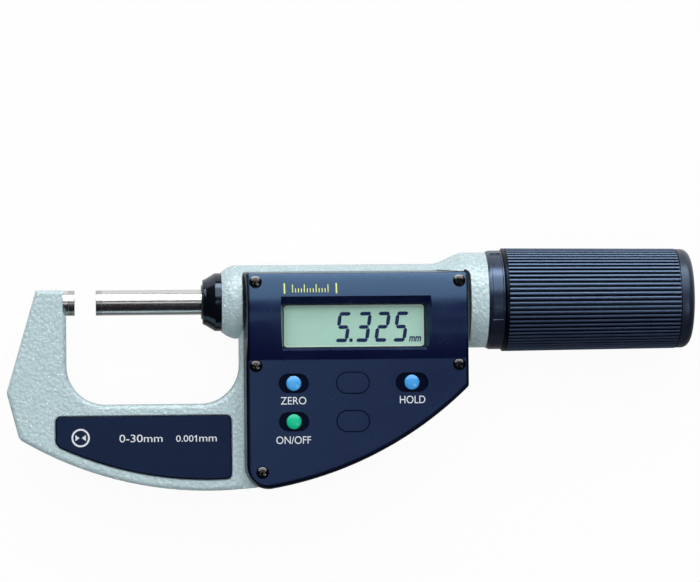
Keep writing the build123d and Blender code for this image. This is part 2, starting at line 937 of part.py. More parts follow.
def display_housing():
    """Moulded display housing: shell, screw posts, window surround, button dishes and blank places."""
    body = housing_block(0, housing_base, 0)
    body = fillet(upper_rim(body), housing_bevel)
    outer = body
    body -= housing_block(housing_wall, housing_base - past, housing_wall)
    posts = Part()
    for x, y, seat in screw_places():
        posts += rod(x, y, housing_base, crest_height, post_radius)
    body += posts & outer
    surround = lens_block(surround_lap - lens_lap, lens_low, crest_height) & outer
    body += surround
    body -= lens_block(lens_fit, lens_low - past, panel_height)
    body -= window_pocket()
    for x, y, seat in screw_places():
        body -= rod(x, y, seat_height, seat, screw_shank_dia / 2 + screw_head_gap)
        body -= rod(x, y, seat, crest_height, screw_head_dia / 2 + screw_head_gap)
    for x, y, length in button_places().values():
        body -= dish(x, y, length, dish_width, dish_depth)
        body -= rod(x, y, panel_height - 2 * housing_wall, panel_height, button_radius + button_gap)
    blank_x = housing_left + blank_column
    for row in range(2):
        y = housing_ridge - button_row - row * button_pitch
        inner_length = blank_length - 2 * blank_groove
        inner_width = blank_width - 2 * blank_groove
        island = dish(blank_x, y, inner_length, inner_width, blank_depth)
        body -= dish(blank_x, y, blank_length, blank_width, blank_depth) - island
    return body


def housing_gasket():
    """Flat gasket between the housing's foot and the frame, with a lug round each screw."""
    outline = offset(housing_outline(), -gasket_inset)
    face = outline - offset(housing_outline(), -gasket_inset - gasket_width)
    for x, y, seat in screw_places():
        face += outline & (Pos(x, y) * Circle(post_radius))
        face -= Pos(x, y) * Circle(screw_shank_dia / 2 + screw_head_gap)
    return slab(face, seat_height, housing_base)


def housing_screws():
    """Five small screws with domed heads that hold the housing down."""
    screws = []
    for x, y, seat in screw_places():
        shank = rod(x, y, seat_height - screw_bite, seat, screw_shank_dia / 2)
        head = rod(x, y, seat, seat + screw_head_height, screw_head_dia / 2)
        head = chamfer(head.faces().sort_by(Axis.Z)[-1].edges(), screw_head_height / 4)
        screws.append(shank + head)
    return Compound(children=screws)


def window_lens():
    """Clear window under the bezel."""
    body = lens_block(0, lens_low, panel_height)
    return fillet(body.edges().filter_by(Axis.Z), window_round)


def lcd_panel():
    """Glass display panel."""
    return lens_block(-glass_inset, glass_low, glass_top)


def display_holder():
    """Moulded frame that holds the display panel over the main board."""
    outer = lens_block(holder_wall, board_top, lens_low)
    return outer - lens_block(glass_fit - glass_inset, board_top - past, lens_low + past)


def contact_strips():
    """Two rubber contact strips between the main board and the display panel."""
    left = window_left + strip_inset
    right = window_right - strip_inset
    strips = []
    for y in (window_low - lens_lap / 2, window_top + lens_lap / 2 - strip_width):
        strips.append(block(left, right, y, y + strip_width, board_top, glass_low))
    return Compound(children=strips)


def main_board():
    """Circuit board that fills the housing, notched round the screw posts."""
    outline = offset(housing_outline(), -board_margin)
    for x, y, seat in screw_places():
        outline -= Pos(x, y) * Circle(post_radius + board_gap)
    return slab(outline, board_height, board_top)


def processor():
    """Processor chip on the front of the main board."""
    x = housing_left + blank_column
    y = housing_ridge - button_row
    half = chip_size / 2
    return block(x - half, x + half, y - half, y + half, board_top, board_top + chip_height)


def contact_domes():
    """Snap domes on the main board, one under each button."""
    middle = board_top + dome_height / 2
    domes = []
    for x, y, length in button_places().values():
        domes.append(Pos(x, y, middle) * Cone(dome_radius, dome_crown_radius, dome_height))
    return Compound(children=domes)


def button(name):
    """One push button: domed key, flange under the panel and a stem over its contact dome."""
    x, y, length = button_places()[name]
    flange_top = panel_height - housing_wall - button_play
    flange_low = flange_top - button_flange
    stem_low = board_top + dome_height + button_travel + button_dome_gap
    button_top = panel_height + button_stand
    rim = button_top - button_dome
    profile = Polyline(
        (0, button_top), (0, stem_low), (button_stem_radius, stem_low), (button_stem_radius, flange_low),
        (button_flange_radius, flange_low), (button_flange_radius, flange_top), (button_radius, flange_top),
        (button_radius, rim),
    )
    key = revolve(make_face(profile + crown(button_radius, rim, button_top)), Axis.Y)
    return Pos(x, y, 0) * Rot(X=90) * key


def scale_board():
    """Fixed grid board of the encoder, lying on the frame over the guide slot."""
    rear = housing_right - screw_edge_right - post_radius - board_gap
    return block(
        slot_front - scale_lead, rear, -scale_half_width, scale_half_width,
        seat_height, seat_height + scale_thickness,
    )


def battery():
    """Button cell in its well."""
    low = -bow_half + cap_thread_length + battery_gap
    body = rod(housing_left + battery_x, battery_y, low, low + battery_height, battery_dia / 2)
    rims = body.edges().filter_by(GeomType.CIRCLE)
    return chamfer(rims, battery_chamfer)


def battery_contacts():
    """Two bent strips from the main board: one to the end of the cell and one to its side."""
    x = housing_left + battery_x
    top = -bow_half + cap_thread_length + battery_gap + battery_height
    half = contact_width / 2
    leaf = block(x - half, x + half, battery_y - half, battery_y + half, top, top + contact_strip)
    leaf += block(x - half, x - half + contact_strip, battery_y - half, battery_y + half, top, board_height)
    side = x + battery_dia / 2 + battery_gap
    wall = block(side, side + contact_strip, battery_y - half, battery_y + half, contact_room, board_height)
    return Compound(children=[leaf, wall])


def battery_seal():
    """Rubber ring under the flange of the battery cap."""
    x = housing_left + battery_x
    bore = cap_thread_radius + seal_room
    ring = Circle(bore + seal_width) - Circle(bore)
    return slab(Pos(x, battery_y) * ring, -bow_half - seal_height, -bow_half)


def battery_cap():
    """Screwed battery cap with a coin slot."""
    x = housing_left + battery_x
    face = -bow_half - seal_height
    body = rod(x, battery_y, face, -bow_half + cap_thread_length, cap_thread_radius)
    flange = rod(x, battery_y, face - cap_flange, face, cap_flange_radius)
    body += chamfer(flange.faces().sort_by(Axis.Z)[0].edges(), cap_flange / 3)
    slot = block(
        x - cap_thread_radius, x + cap_thread_radius, battery_y - coin_slot / 2, battery_y + coin_slot / 2,
        face - cap_flange - past, face,
    )
    return body - slot


def output_socket():
    """Data connector in its pocket, with a row of contact openings."""
    x = housing_left + socket_x
    back = -bow_half + cover_sink
    half_x, half_y = socket_length / 2, socket_width / 2
    low, high = socket_y - half_y, socket_y + half_y
    body = block(x - half_x, x + half_x, low, high, back, back + socket_depth)
    pitch = socket_length / (socket_ways + 1)
    for index in range(socket_ways):
        hole_x = x - socket_length / 2 + (index + 1) * pitch
        body -= block(
            hole_x - pitch / 4, hole_x + pitch / 4, socket_y - pitch / 2, socket_y + pitch / 2,
            back - past, back + socket_depth / 2,
        )
    return body


def output_cover():
    """Small plate over the data connector."""
    back = -bow_half + cover_sink
    body = slab(cover_outline(0), back - cover_thickness, back)
    for x in cover_screw_places():
        body -= rod(x, socket_y, back - cover_thickness - past, back + past, cover_screw_dia / 2)
    return body


def cover_screws():
    """Two screws of the data cover."""
    back = -bow_half + cover_sink
    outside = back - cover_thickness
    screws = []
    for x in cover_screw_places():
        shank = rod(x, socket_y, outside, back + cover_screw_length - cover_gap, cover_screw_dia / 2)
        head = rod(x, socket_y, outside - cover_screw_head_height, outside, cover_screw_head / 2)
        screws.append(shank + head)
    return Compound(children=screws)


parts = {
    "frame": frame(),
    "anvil": anvil(),
    "anvil_tip": anvil_tip(),
    "spindle_nut": spindle_nut(),
    "spindle_wiper": spindle_wiper(),
    "guide_bush": guide_bush(),
    "front_plate": name_plate(),
    "rear_plate": mirror(name_plate(), Plane.XY),
    "sleeve_ring": sleeve_ring(),
    "drive_bearing": drive_bearing(),
    "bearing_retainer": bearing_retainer(),
    "display_housing": display_housing(),
    "housing_gasket": housing_gasket(),
    "housing_screws": housing_screws(),
    "window_lens": window_lens(),
    "lcd_panel": lcd_panel(),
    "display_holder": display_holder(),
    "contact_strips": contact_strips(),
    "main_board": main_board(),
    "processor": processor(),
    "contact_domes": contact_domes(),
    "scale_board": scale_board(),
    "battery": battery(),
    "battery_contacts": battery_contacts(),
    "battery_seal": battery_seal(),
    "battery_cap": battery_cap(),
    "output_socket": output_socket(),
    "output_cover": output_cover(),
    "cover_screws": cover_screws(),
    "zero_button": button("zero_button"),
    "on_off_button": button("on_off_button"),
    "hold_button": button("hold_button"),
    "spindle": spindle(),
    "spindle_tip": spindle_tip(),
    "lead_screw": lead_screw(),
    "guide_key": guide_key(),
    "key_screws": key_screws(),
    "encoder_slider": encoder_slider(),
    "drive_sleeve": drive_sleeve(),
    "drive_nut": drive_nut(),
    "nut_lock_ring": nut_lock_ring(),
    "thrust_ring": thrust_ring(),
    "clutch_disc": clutch_disc(),
    "pressure_washer": pressure_washer(),
    "disc_springs": disc_springs(),
    "spring_nut": spring_nut(),
    "thimble": thimble(),
    "thimble_grip": thimble_grip(),
    "end_cap": end_cap(),
}

os.makedirs("parts", exist_ok=True)
for name, solid in parts.items():
    export_step(solid, f"parts/{name}.step")
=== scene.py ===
import json
from math import cos, pi, radians, sin, sqrt, tan

import bmesh
import bpy
from mathutils import Matrix, Vector

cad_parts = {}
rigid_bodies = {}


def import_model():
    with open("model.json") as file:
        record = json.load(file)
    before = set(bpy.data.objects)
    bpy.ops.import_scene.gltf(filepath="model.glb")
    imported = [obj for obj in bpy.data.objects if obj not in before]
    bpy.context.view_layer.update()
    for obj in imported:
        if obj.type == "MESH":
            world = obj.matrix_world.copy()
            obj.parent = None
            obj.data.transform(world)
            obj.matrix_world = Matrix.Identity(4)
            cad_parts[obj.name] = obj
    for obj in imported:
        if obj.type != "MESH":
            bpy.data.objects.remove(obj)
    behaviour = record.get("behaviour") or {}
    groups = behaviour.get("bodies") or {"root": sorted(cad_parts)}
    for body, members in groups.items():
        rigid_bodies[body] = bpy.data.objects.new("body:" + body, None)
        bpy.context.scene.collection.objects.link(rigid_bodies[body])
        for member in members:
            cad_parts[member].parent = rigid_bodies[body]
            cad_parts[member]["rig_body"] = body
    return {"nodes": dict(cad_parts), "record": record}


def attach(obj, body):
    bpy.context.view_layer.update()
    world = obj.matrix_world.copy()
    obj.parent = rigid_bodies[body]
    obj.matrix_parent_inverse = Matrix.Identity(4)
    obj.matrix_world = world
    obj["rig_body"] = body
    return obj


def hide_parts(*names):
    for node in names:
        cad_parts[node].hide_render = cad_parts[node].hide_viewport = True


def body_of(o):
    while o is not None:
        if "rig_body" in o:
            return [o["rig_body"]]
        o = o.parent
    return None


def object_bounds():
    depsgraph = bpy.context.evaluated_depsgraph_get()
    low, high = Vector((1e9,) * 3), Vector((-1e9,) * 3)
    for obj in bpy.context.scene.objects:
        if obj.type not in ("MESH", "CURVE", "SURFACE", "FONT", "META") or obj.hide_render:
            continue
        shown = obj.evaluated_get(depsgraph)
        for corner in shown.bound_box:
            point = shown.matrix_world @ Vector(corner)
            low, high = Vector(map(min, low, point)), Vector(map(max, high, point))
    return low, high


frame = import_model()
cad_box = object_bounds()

MM = 0.001
nodes = frame["nodes"]
slot_of = {row["node"]: row["material_slot"] for row in frame["record"]["subparts"]}
FLOAT, VECTOR = "NodeSocketFloat", "NodeSocketVector"
GEOMETRY, COUNT, PAINT = "NodeSocketGeometry", "NodeSocketInt", "NodeSocketMaterial"


class Wiring:
    """Adds nodes to a shader or geometry tree and joins them up."""

    def __init__(self, tree):
        self.tree = tree

    def add(self, kind, inputs=None, **settings):
        """Node with settings, and with inputs that are linked to sockets or set to values."""
        made = self.tree.nodes.new(kind)
        for name, value in settings.items():
            setattr(made, name, value)
        for key, value in (inputs or {}).items():
            if isinstance(value, bpy.types.NodeSocket):
                self.tree.links.new(value, made.inputs[key])
            else:
                made.inputs[key].default_value = value
        return made

    def join(self, out, into):
        self.tree.links.new(out, into)

    def ramp(self, factor, *stops):
        """Colour ramp through (position, grey or colour) stops."""
        made = self.add("ShaderNodeValToRGB", {"Fac": factor})
        elements = made.color_ramp.elements
        while len(elements) < len(stops):
            elements.new(1.0)
        for element, (place, shade) in zip(elements, stops):
            element.position = place
            element.color = (*shade, 1.0) if isinstance(shade, tuple) else (shade, shade, shade, 1.0)
        return made.outputs["Color"]

    def mix(self, factor, first, second):
        """Colour between two others."""
        inputs = {0: factor, 6: first, 7: second}
        for key in (6, 7):
            if isinstance(inputs[key], tuple):
                inputs[key] = (*inputs[key], 1.0)
        return self.add("ShaderNodeMix", inputs, data_type="RGBA").outputs[2]

    def math(self, operation, first, second=0.0, third=0.0):
        values = {0: first, 1: second, 2: third}
        return self.add("ShaderNodeMath", values, operation=operation).outputs[0]

    def length(self, first, second):
        """Length of the line with these two sides across each other."""
        squares = [self.math("MULTIPLY", side, side) for side in (first, second)]
        return self.math("SQRT", self.math("ADD", *squares))

    def span(self, value, low, high, to_low, to_high):
        """Value carried from one range to another, held at its ends."""
        inputs = {"Value": value, "From Min": low, "From Max": high, "To Min": to_low, "To Max": to_high}
        return self.add("ShaderNodeMapRange", inputs).outputs[0]

    def axes(self, place):
        """X, Y and Z of a place."""
        return self.add("ShaderNodeSeparateXYZ", {0: place}).outputs

    def point(self, **values):
        """Place from X, Y and Z, which are nought unless given."""
        return self.add("ShaderNodeCombineXYZ", values).outputs[0]

    def group(self, tree, values):
        """Outputs of a shader node group that is given these inputs."""
        return self.add("ShaderNodeGroup", values, node_tree=tree).outputs

    def bumped(self, given, out, relief):
        """Give a group its normal, from a relief and the group's own height in mm."""
        height = self.math("MULTIPLY", given["Height mm"], MM)
        bump = self.add("ShaderNodeBump", {"Height": relief, "Distance": height})
        self.join(bump.outputs[0], out["Normal"])


def node_group(name, kind, inputs, outputs):
    """Empty node group with named sockets, and its wiring, group input and group output."""
    tree = bpy.data.node_groups.new(name, kind)
    for label, socket_kind, value in inputs:
        socket = tree.interface.new_socket(label, in_out="INPUT", socket_type=socket_kind)
        if value is not None:
            socket.default_value = value
    for label, socket_kind in outputs:
        tree.interface.new_socket(label, in_out="OUTPUT", socket_type=socket_kind)
    wire = Wiring(tree)
    return tree, wire, wire.add("NodeGroupInput").outputs, wire.add("NodeGroupOutput").inputs


def new_material(name):
    """Material with an empty tree: its wiring, the shader and the object coordinates."""
    material = bpy.data.materials.new(name)
    material.use_nodes = True
    material.node_tree.nodes.clear()
    wire = Wiring(material.node_tree)
    shader = wire.add("ShaderNodeBsdfPrincipled")
    output = wire.add("ShaderNodeOutputMaterial")
    wire.join(shader.outputs[0], output.inputs["Surface"])
    place = wire.add("ShaderNodeTexCoord").outputs["Object"]
    return material, wire, shader.inputs, place


def group_material(name, tree, sizes, plain):
    """Material whose normal and gloss come from a node group, with its wiring, its shader's inputs
    and the group's outputs. Plain holds the inputs that are the same all over."""
    material, wire, shader, place = new_material(name)
    group = wire.group(tree, {"Place": place, **sizes})
    wire.join(group["Normal"], shader["Normal"])
    wire.join(group["Roughness"], shader["Roughness"])
    for label, value in plain.items():
        value = (*value, 1.0) if isinstance(value, tuple) else value
        shader[label.replace("_", " ")].default_value = value
    return material, wire, shader, group


def reopened(material):
    """Wiring of a finished material, its shader's inputs, its colour so far and object coordinates."""
    wire = Wiring(material.node_tree)
    shader = wire.tree.nodes["Principled BSDF"].inputs
    place = wire.add("ShaderNodeTexCoord").outputs["Object"]
    return wire, shader, shader["Base Color"].links[0].from_socket, place


# Moulded grain: a slightly uneven surface with cloudy gloss
moulded_grain, wire, given, out = node_group(
    "moulded_grain", "ShaderNodeTree",
    [("Place", VECTOR, None), ("Grain mm", FLOAT, 0.2), ("Height mm", FLOAT, 0.01),
     ("Low", FLOAT, 0.3), ("High", FLOAT, 0.4)],
    [("Normal", VECTOR), ("Roughness", FLOAT), ("Cloud", FLOAT)],
)
per_metre = wire.math("DIVIDE", 1000.0, given["Grain mm"])
grain = wire.add("ShaderNodeTexNoise", {"Vector": given["Place"], "Scale": per_metre, "Detail": 2.0})
cloud = wire.add("ShaderNodeTexNoise", {"Vector": given["Place"], "Scale": 120.0, "Detail": 4.0})
wire.bumped(given, out, grain.outputs[0])
wire.join(wire.span(cloud.outputs[0], 0.3, 0.7, given["Low"], given["High"]), out["Roughness"])
wire.join(cloud.outputs[0], out["Cloud"])

# Hammered enamel: rounded cells that run together, with pits between them and small white flakes that are
# painted glints
hammered, wire, given, out = node_group(
    "hammered_enamel", "ShaderNodeTree",
    [("Place", VECTOR, None), ("Cell mm", FLOAT, 1.0), ("Height mm", FLOAT, 0.06),
     ("Glint share", FLOAT, 0.09)],
    [("Normal", VECTOR), ("Cells", FLOAT), ("Painted glints", FLOAT), ("Roughness", FLOAT)],
)
per_metre = wire.math("DIVIDE", 1000.0, given["Cell mm"])
warp = wire.add("ShaderNodeTexNoise", {"Vector": given["Place"], "Scale": per_metre, "Detail": 2.0})
bend = wire.add("ShaderNodeVectorMath", {0: warp.outputs["Color"], "Scale": 0.8 * MM}, operation="SCALE")
place = wire.add(
    "ShaderNodeVectorMath", {0: given["Place"], 1: bend.outputs[0]}, operation="ADD",
).outputs[0]
cells = wire.add(
    "ShaderNodeTexVoronoi", {"Vector": place, "Scale": per_metre, "Smoothness": 0.35}, feature="SMOOTH_F1",
)
finer = wire.math("MULTIPLY", per_metre, 2.2)
fine = wire.add("ShaderNodeTexNoise", {"Vector": place, "Scale": finer, "Detail": 1.0})
domes = wire.ramp(cells.outputs["Distance"], (0.05, 1.0), (0.4, 0.62), (0.75, 0.0))
relief = wire.math("MULTIPLY_ADD", fine.outputs[0], 0.7, domes)
wire.bumped(given, out, relief)
denser = wire.math("MULTIPLY", per_metre, 1.7)
specks = wire.add("ShaderNodeTexVoronoi", {"Vector": place, "Scale": denser})
spread = wire.add("ShaderNodeSeparateColor", {0: specks.outputs["Color"]}).outputs[0]
chosen = wire.math("LESS_THAN", spread, given["Glint share"])
spot = wire.span(specks.outputs["Distance"], 0.2, 0.45, 1.0, 0.0)
wire.join(domes, out["Cells"])
wire.join(wire.math("MULTIPLY", chosen, spot), out["Painted glints"])
wire.join(wire.span(fine.outputs[0], 0.35, 0.65, 0.13, 0.28), out["Roughness"])

# Turning lines: fine rings left by a tool on a piece turned or ground about X
turning_lines, wire, given, out = node_group(
    "turning_lines", "ShaderNodeTree",
    [("Place", VECTOR, None), ("Line mm", FLOAT, 0.1), ("Height mm", FLOAT, 0.002),
     ("Low", FLOAT, 0.15), ("High", FLOAT, 0.3)],
    [("Normal", VECTOR), ("Roughness", FLOAT), ("Lines", FLOAT)],
)
per_metre = wire.math("DIVIDE", 1000.0, given["Line mm"])
flat = wire.add("ShaderNodeMapping", {"Vector": given["Place"], "Scale": (1.0, 0.03, 0.03)})
lines = wire.add("ShaderNodeTexNoise", {"Vector": flat.outputs[0], "Scale": per_metre, "Detail": 3.0})
wire.bumped(given, out, lines.outputs[0])
wire.join(wire.span(lines.outputs[0], 0.35, 0.65, given["Low"], given["High"]), out["Roughness"])
wire.join(lines.outputs[0], out["Lines"])

# Rib relief: how high a place stands between the grooves and the crests of a tapering sleeve on X
rib_relief, wire, given, out = node_group(
    "rib_relief", "ShaderNodeTree",
    [("Place", VECTOR, None), ("Front", FLOAT, 0.0), ("Rear", FLOAT, 0.04),
     ("Front radius", FLOAT, 0.013), ("Rear radius", FLOAT, 0.0127), ("Depth", FLOAT, 0.0005)],
    [("Crest", FLOAT)],
)
axes = wire.axes(given["Place"])
from_axis = wire.length(axes["Y"], axes["Z"])
crest = wire.span(axes["X"], *(given[label] for label in ("Front", "Rear", "Front radius", "Rear radius")))
below = wire.math("DIVIDE", wire.math("SUBTRACT", crest, from_axis), given["Depth"])
raised = wire.span(below, 0.1, 0.6, 1.0, 0.0)
behind_front = wire.math("GREATER_THAN", axes["X"], given["Front"])
wire.join(wire.math("MULTIPLY", raised, behind_front), out["Crest"])

# Painted edge shade: the strip inside the left, right and curved edges of the housing's top, where the
# shade on the rounded edges is painted. Sizes in mm
edge_shade_band, wire, given, out = node_group(
    "edge_shade_band", "ShaderNodeTree",
    [("Place", VECTOR, None), ("Left", FLOAT, 42.84), ("Right", FLOAT, 98.64),
     ("Arc x", FLOAT, 33.9), ("Arc y", FLOAT, 44.9), ("Arc radius", FLOAT, 92.81),
     ("Corner", FLOAT, 5.5), ("Width", FLOAT, 1.0)],
    [("Band", FLOAT)],
)
axes = wire.axes(given["Place"])
along, across = (wire.math("MULTIPLY", axes[axis], 1000.0) for axis in "XY")
past_arc_x = wire.math("SUBTRACT", along, given["Arc x"])
past_arc_y = wire.math("SUBTRACT", across, given["Arc y"])
from_left = wire.math("SUBTRACT", along, given["Left"])
from_arc = wire.math("SUBTRACT", given["Arc radius"], wire.length(past_arc_x, past_arc_y))
gaps = []
for side in (from_left, from_arc):
    gaps.append(wire.math("MAXIMUM", 0.0, wire.math("SUBTRACT", given["Corner"], side)))
inside = wire.math("SUBTRACT", given["Corner"], wire.length(*gaps))
from_right = wire.math("MULTIPLY", wire.math("SUBTRACT", given["Right"], along), 1.3)
nearest = wire.math("MINIMUM", inside, from_right)
full = wire.math("MULTIPLY", given["Width"], 0.6)
wire.join(wire.span(nearest, full, given["Width"], 1.0, 0.0), out["Band"])


def moulded(name, colour, second, grain=0.2, height=0.01, low=0.3, high=0.4, **plain):
    """Material of a moulded, painted or plain piece: fine grain and a cloudy colour."""
    sizes = {"Grain mm": grain, "Height mm": height, "Low": low, "High": high}
    material, wire, shader, group = group_material(name, moulded_grain, sizes, plain)
    wire.join(wire.mix(group["Cloud"], colour, second), shader["Base Color"])
    return material


def turned_metal(name, colour, second, line=0.1, height=0.002, low=0.15, high=0.3):
    """Material of a turned or ground metal piece."""
    sizes = {"Line mm": line, "Height mm": height, "Low": low, "High": high}
    material, wire, shader, group = group_material(name, turning_lines, sizes, {"Metallic": 1.0})
    wire.join(wire.mix(group["Lines"], colour, second), shader["Base Color"])
    return material


def hammered_paint(name, colour, pit, painted_glint, cell, height):
    """Hammered enamel: pale cells, darker pits between them and white flakes that are painted glints."""
    sizes = {"Cell mm": cell, "Height mm": height}
    material, wire, shader, group = group_material(name, hammered, sizes, {"Specular IOR Level": 0.6})
    ground = wire.mix(group["Cells"], pit, colour)
    # white flakes are painted glints
    wire.join(wire.mix(group["Painted glints"], ground, painted_glint), shader["Base Color"])
    return material


NAVY_SHEEN = (0.37, 0.67, 1.0)
# Colours of painted shade: along the edges of the housing's top, and in its sunk places
EDGE_SHADE = (0.0012, 0.0018, 0.010)
RECESS_SHADE = (0.0012, 0.0018, 0.012)


def painted_edge_shade(material):
    """Paint shade into a material towards the edges of the housing's top: darker colour and less gloss
    there.
    """
    wire, shader, own_colour, place = reopened(material)
    own_gloss = shader["Specular IOR Level"].links[0].from_socket
    band = wire.group(edge_shade_band, {"Place": place})["Band"]
    # painted shade along the rounded edges of the housing's top
    wire.join(wire.mix(band, own_colour, EDGE_SHADE), shader["Base Color"])
    dulled = wire.math("MULTIPLY", own_gloss, wire.span(band, 0.0, 1.0, 1.0, 0.15))
    wire.join(dulled, shader["Specular IOR Level"])
    return material


def recess_shaded_moulding(name, colour, second, gloss, floor, top, **plain):
    """Satin piece with painted shade between two heights in mm, where it is sunk: darker colour and less
    gloss there.
    """
    material = moulded(name, colour, second, 0.12, 0.006, 0.21, 0.29, **plain)
    wire, shader, own_colour, place = reopened(material)
    height = wire.math("ABSOLUTE", wire.axes(place)["Z"])
    above = wire.math("GREATER_THAN", height, floor * MM)
    sunk = wire.math("MULTIPLY", above, wire.math("LESS_THAN", height, top * MM))
    # painted shade in the sunk places, with less gloss
    wire.join(wire.mix(sunk, own_colour, RECESS_SHADE), shader["Base Color"])
    wire.join(wire.span(sunk, 0.0, 1.0, gloss, 0.12), shader["Specular IOR Level"])
    return material


def ribbed_moulding(name, groove_shade, colour, second, sizes, **plain):
    """Moulded sleeve with ribs, with painted shade towards the bottom of its grooves: darker colour and
    less gloss there. The collar in front of the ribs takes the groove colour too. Sizes are the inputs of
    the rib relief, in mm."""
    material = moulded(name, colour, second, 0.15, 0.006, 0.30, 0.40, **plain)
    wire, shader, own_colour, place = reopened(material)
    values = {label: value * MM for label, value in sizes.items()}
    crest = wire.group(rib_relief, {"Place": place, **values})["Crest"]
    # painted shade: the groove colour where the place lies low between the ribs
    wire.join(wire.mix(crest, groove_shade, own_colour), shader["Base Color"])
    wire.join(wire.span(crest, 0.0, 1.0, 0.12, 1.0), shader["Specular IOR Level"])
    return material


def printed_ink(name, colour, second):
    """Printed lettering: nearly even, a little worn in the grain below it."""
    return moulded(name, colour, second, 0.25, 0.004, 0.4, 0.55, Specular_IOR_Level=0.3)


# Each finish has its name and colours first, then its grain or line and that one's height in mm, and
# the two ends of its roughness
finishes = {
    # frame: its third colour is that of the white flakes, which are painted glints
    "cast_frame": hammered_paint(
        "frame_enamel", (0.55, 0.705, 0.745), (0.46, 0.61, 0.65), (0.95, 1.0, 1.0), cell=0.95, height=0.13,
    ),
    "ground_steel": turned_metal(
        "ground_steel", (0.70, 0.70, 0.71), (0.62, 0.62, 0.63), 0.12, 0.0008, 0.16, 0.26,
    ),
    "carbide": turned_metal(
        "lapped_carbide", (0.52, 0.50, 0.49), (0.47, 0.45, 0.44), 0.2, 0.0005, 0.20, 0.3,
    ),
    "black_nut": moulded(
        "nut_black", (0.002, 0.003, 0.005), (0.003, 0.004, 0.007), 0.5, 0.002, 0.10, 0.18,
        Specular_IOR_Level=0.7, Specular_Tint=(0.55, 0.72, 1.0),
    ),
    "wiper_rubber": moulded(
        "wiper_rubber", (0.008, 0.008, 0.009), (0.014, 0.014, 0.014), 0.3, 0.01, 0.15, 0.3,
    ),
    "bronze": turned_metal("turned_bronze", (0.62, 0.42, 0.22), (0.5, 0.33, 0.17)),
    # plate: painted shade below its face
    "plate_paint": recess_shaded_moulding(
        "plate_navy", (0.0065, 0.011, 0.038), (0.008, 0.013, 0.044),
        gloss=0.22, floor=4.0, top=5.22, Specular_Tint=NAVY_SHEEN,
    ),
    "ring_metal": moulded(
        "ring_dark", (0.008, 0.010, 0.022), (0.011, 0.014, 0.028), 0.2, 0.003, 0.24, 0.34,
        Specular_IOR_Level=1.0, Specular_Tint=(0.45, 0.66, 1.0),
    ),
    "steel": turned_metal("turned_steel", (0.55, 0.56, 0.58), (0.45, 0.46, 0.48), 0.2, 0.003, 0.25, 0.4),
    # housing: painted shade in its dishes and along the edges of its top
    "housing_plastic": painted_edge_shade(recess_shaded_moulding(
        "housing_navy", (0.0034, 0.0052, 0.036), (0.0043, 0.0066, 0.042),
        gloss=0.80, floor=10.25, top=10.92, Specular_Tint=NAVY_SHEEN,
    )),
    "seal_rubber": moulded("seal_rubber", (0.012, 0.012, 0.013), (0.02, 0.02, 0.02), 0.3, 0.02, 0.5, 0.7),
    "black_screws": moulded(
        "screw_black", (0.0015, 0.0015, 0.002), (0.003, 0.003, 0.004), 0.2, 0.004, 0.05, 0.08,
        Specular_IOR_Level=0.8,
    ),
    "holder_plastic": moulded(
        "holder_black", (0.015, 0.015, 0.016), (0.02, 0.02, 0.022), 0.2, 0.01, 0.4, 0.55,
    ),
    "contact_rubber": moulded("contact_rubber", (0.1, 0.1, 0.1), (0.2, 0.2, 0.2), 0.2, 0.01, 0.5, 0.7),
    "circuit_board": moulded("board_green", (0.01, 0.08, 0.03), (0.015, 0.1, 0.04), 0.2, 0.01, 0.3, 0.45),
    "spring_contacts": turned_metal("spring_strip", (0.6, 0.6, 0.62), (0.5, 0.5, 0.52)),
    "cell_steel": turned_metal("cell_can", (0.62, 0.62, 0.64), (0.52, 0.52, 0.54)),
    "black_plastic": moulded(
        "cover_black", (0.010, 0.010, 0.012), (0.016, 0.016, 0.018), 0.15, 0.01, 0.35, 0.5,
    ),
    "blue_button": moulded("button_blue", (0.05, 0.37, 0.84), (0.07, 0.42, 0.90), 0.2, 0.002, 0.2, 0.3),
    "green_button": moulded(
        "button_green", (0.002, 0.53, 0.28), (0.003, 0.59, 0.32), 0.2, 0.002, 0.2, 0.3,
        Specular_IOR_Level=0.3,
    ),
    "friction_lining": moulded(
        "friction_lining", (0.12, 0.07, 0.04), (0.2, 0.12, 0.07), 0.3, 0.03, 0.6, 0.8,
    ),
    "thimble_metal": turned_metal("core_aluminium", (0.6, 0.6, 0.62), (0.5, 0.5, 0.52)),
    # grip: its first colour is the painted shade in the grooves
    "grip_plastic": ribbed_moulding(
        "grip_navy", (0.001, 0.0015, 0.004), (0.016, 0.024, 0.058), (0.020, 0.030, 0.070),
        {"Front": 109.0, "Rear": 152.55, "Front radius": 13.1, "Rear radius": 12.7, "Depth": 0.55},
        IOR=1.65, Specular_Tint=(0.45, 0.68, 1.0),
    ),
    "cap_plastic": moulded(
        "end_cap_navy", (0.009, 0.012, 0.026), (0.012, 0.016, 0.032), 0.15, 0.006, 0.3, 0.4,
        Specular_IOR_Level=0.6, Specular_Tint=(0.55, 0.75, 1.0),
    ),
}

white_ink = printed_ink("white_ink", (0.72, 0.76, 0.80), (0.78, 0.82, 0.86))
yellow_ink = printed_ink("yellow_ink", (0.72, 0.80, 0.16), (0.78, 0.85, 0.20))
segment_ink = moulded(
    "segment_ink", (0.004, 0.014, 0.075), (0.006, 0.020, 0.090), 0.2, 0.0, 0.6, 0.7,
    Specular_IOR_Level=0.1,
)

# Clear window: hardly any colour of its own, only gloss
clear, wire, shader, place = new_material("window_clear")
noise = wire.add("ShaderNodeTexNoise", {"Vector": place, "Scale": 300.0}).outputs[0]
for label, low, high in (
    ("Alpha", 0.02, 0.03), ("Base Color", (0.10, 0.16, 0.20), (0.12, 0.19, 0.23)),
):
    wire.join(wire.ramp(noise, (0.4, low), (0.6, high)), shader[label])
shader["Roughness"].default_value = 0.03
finishes["window_clear"] = clear
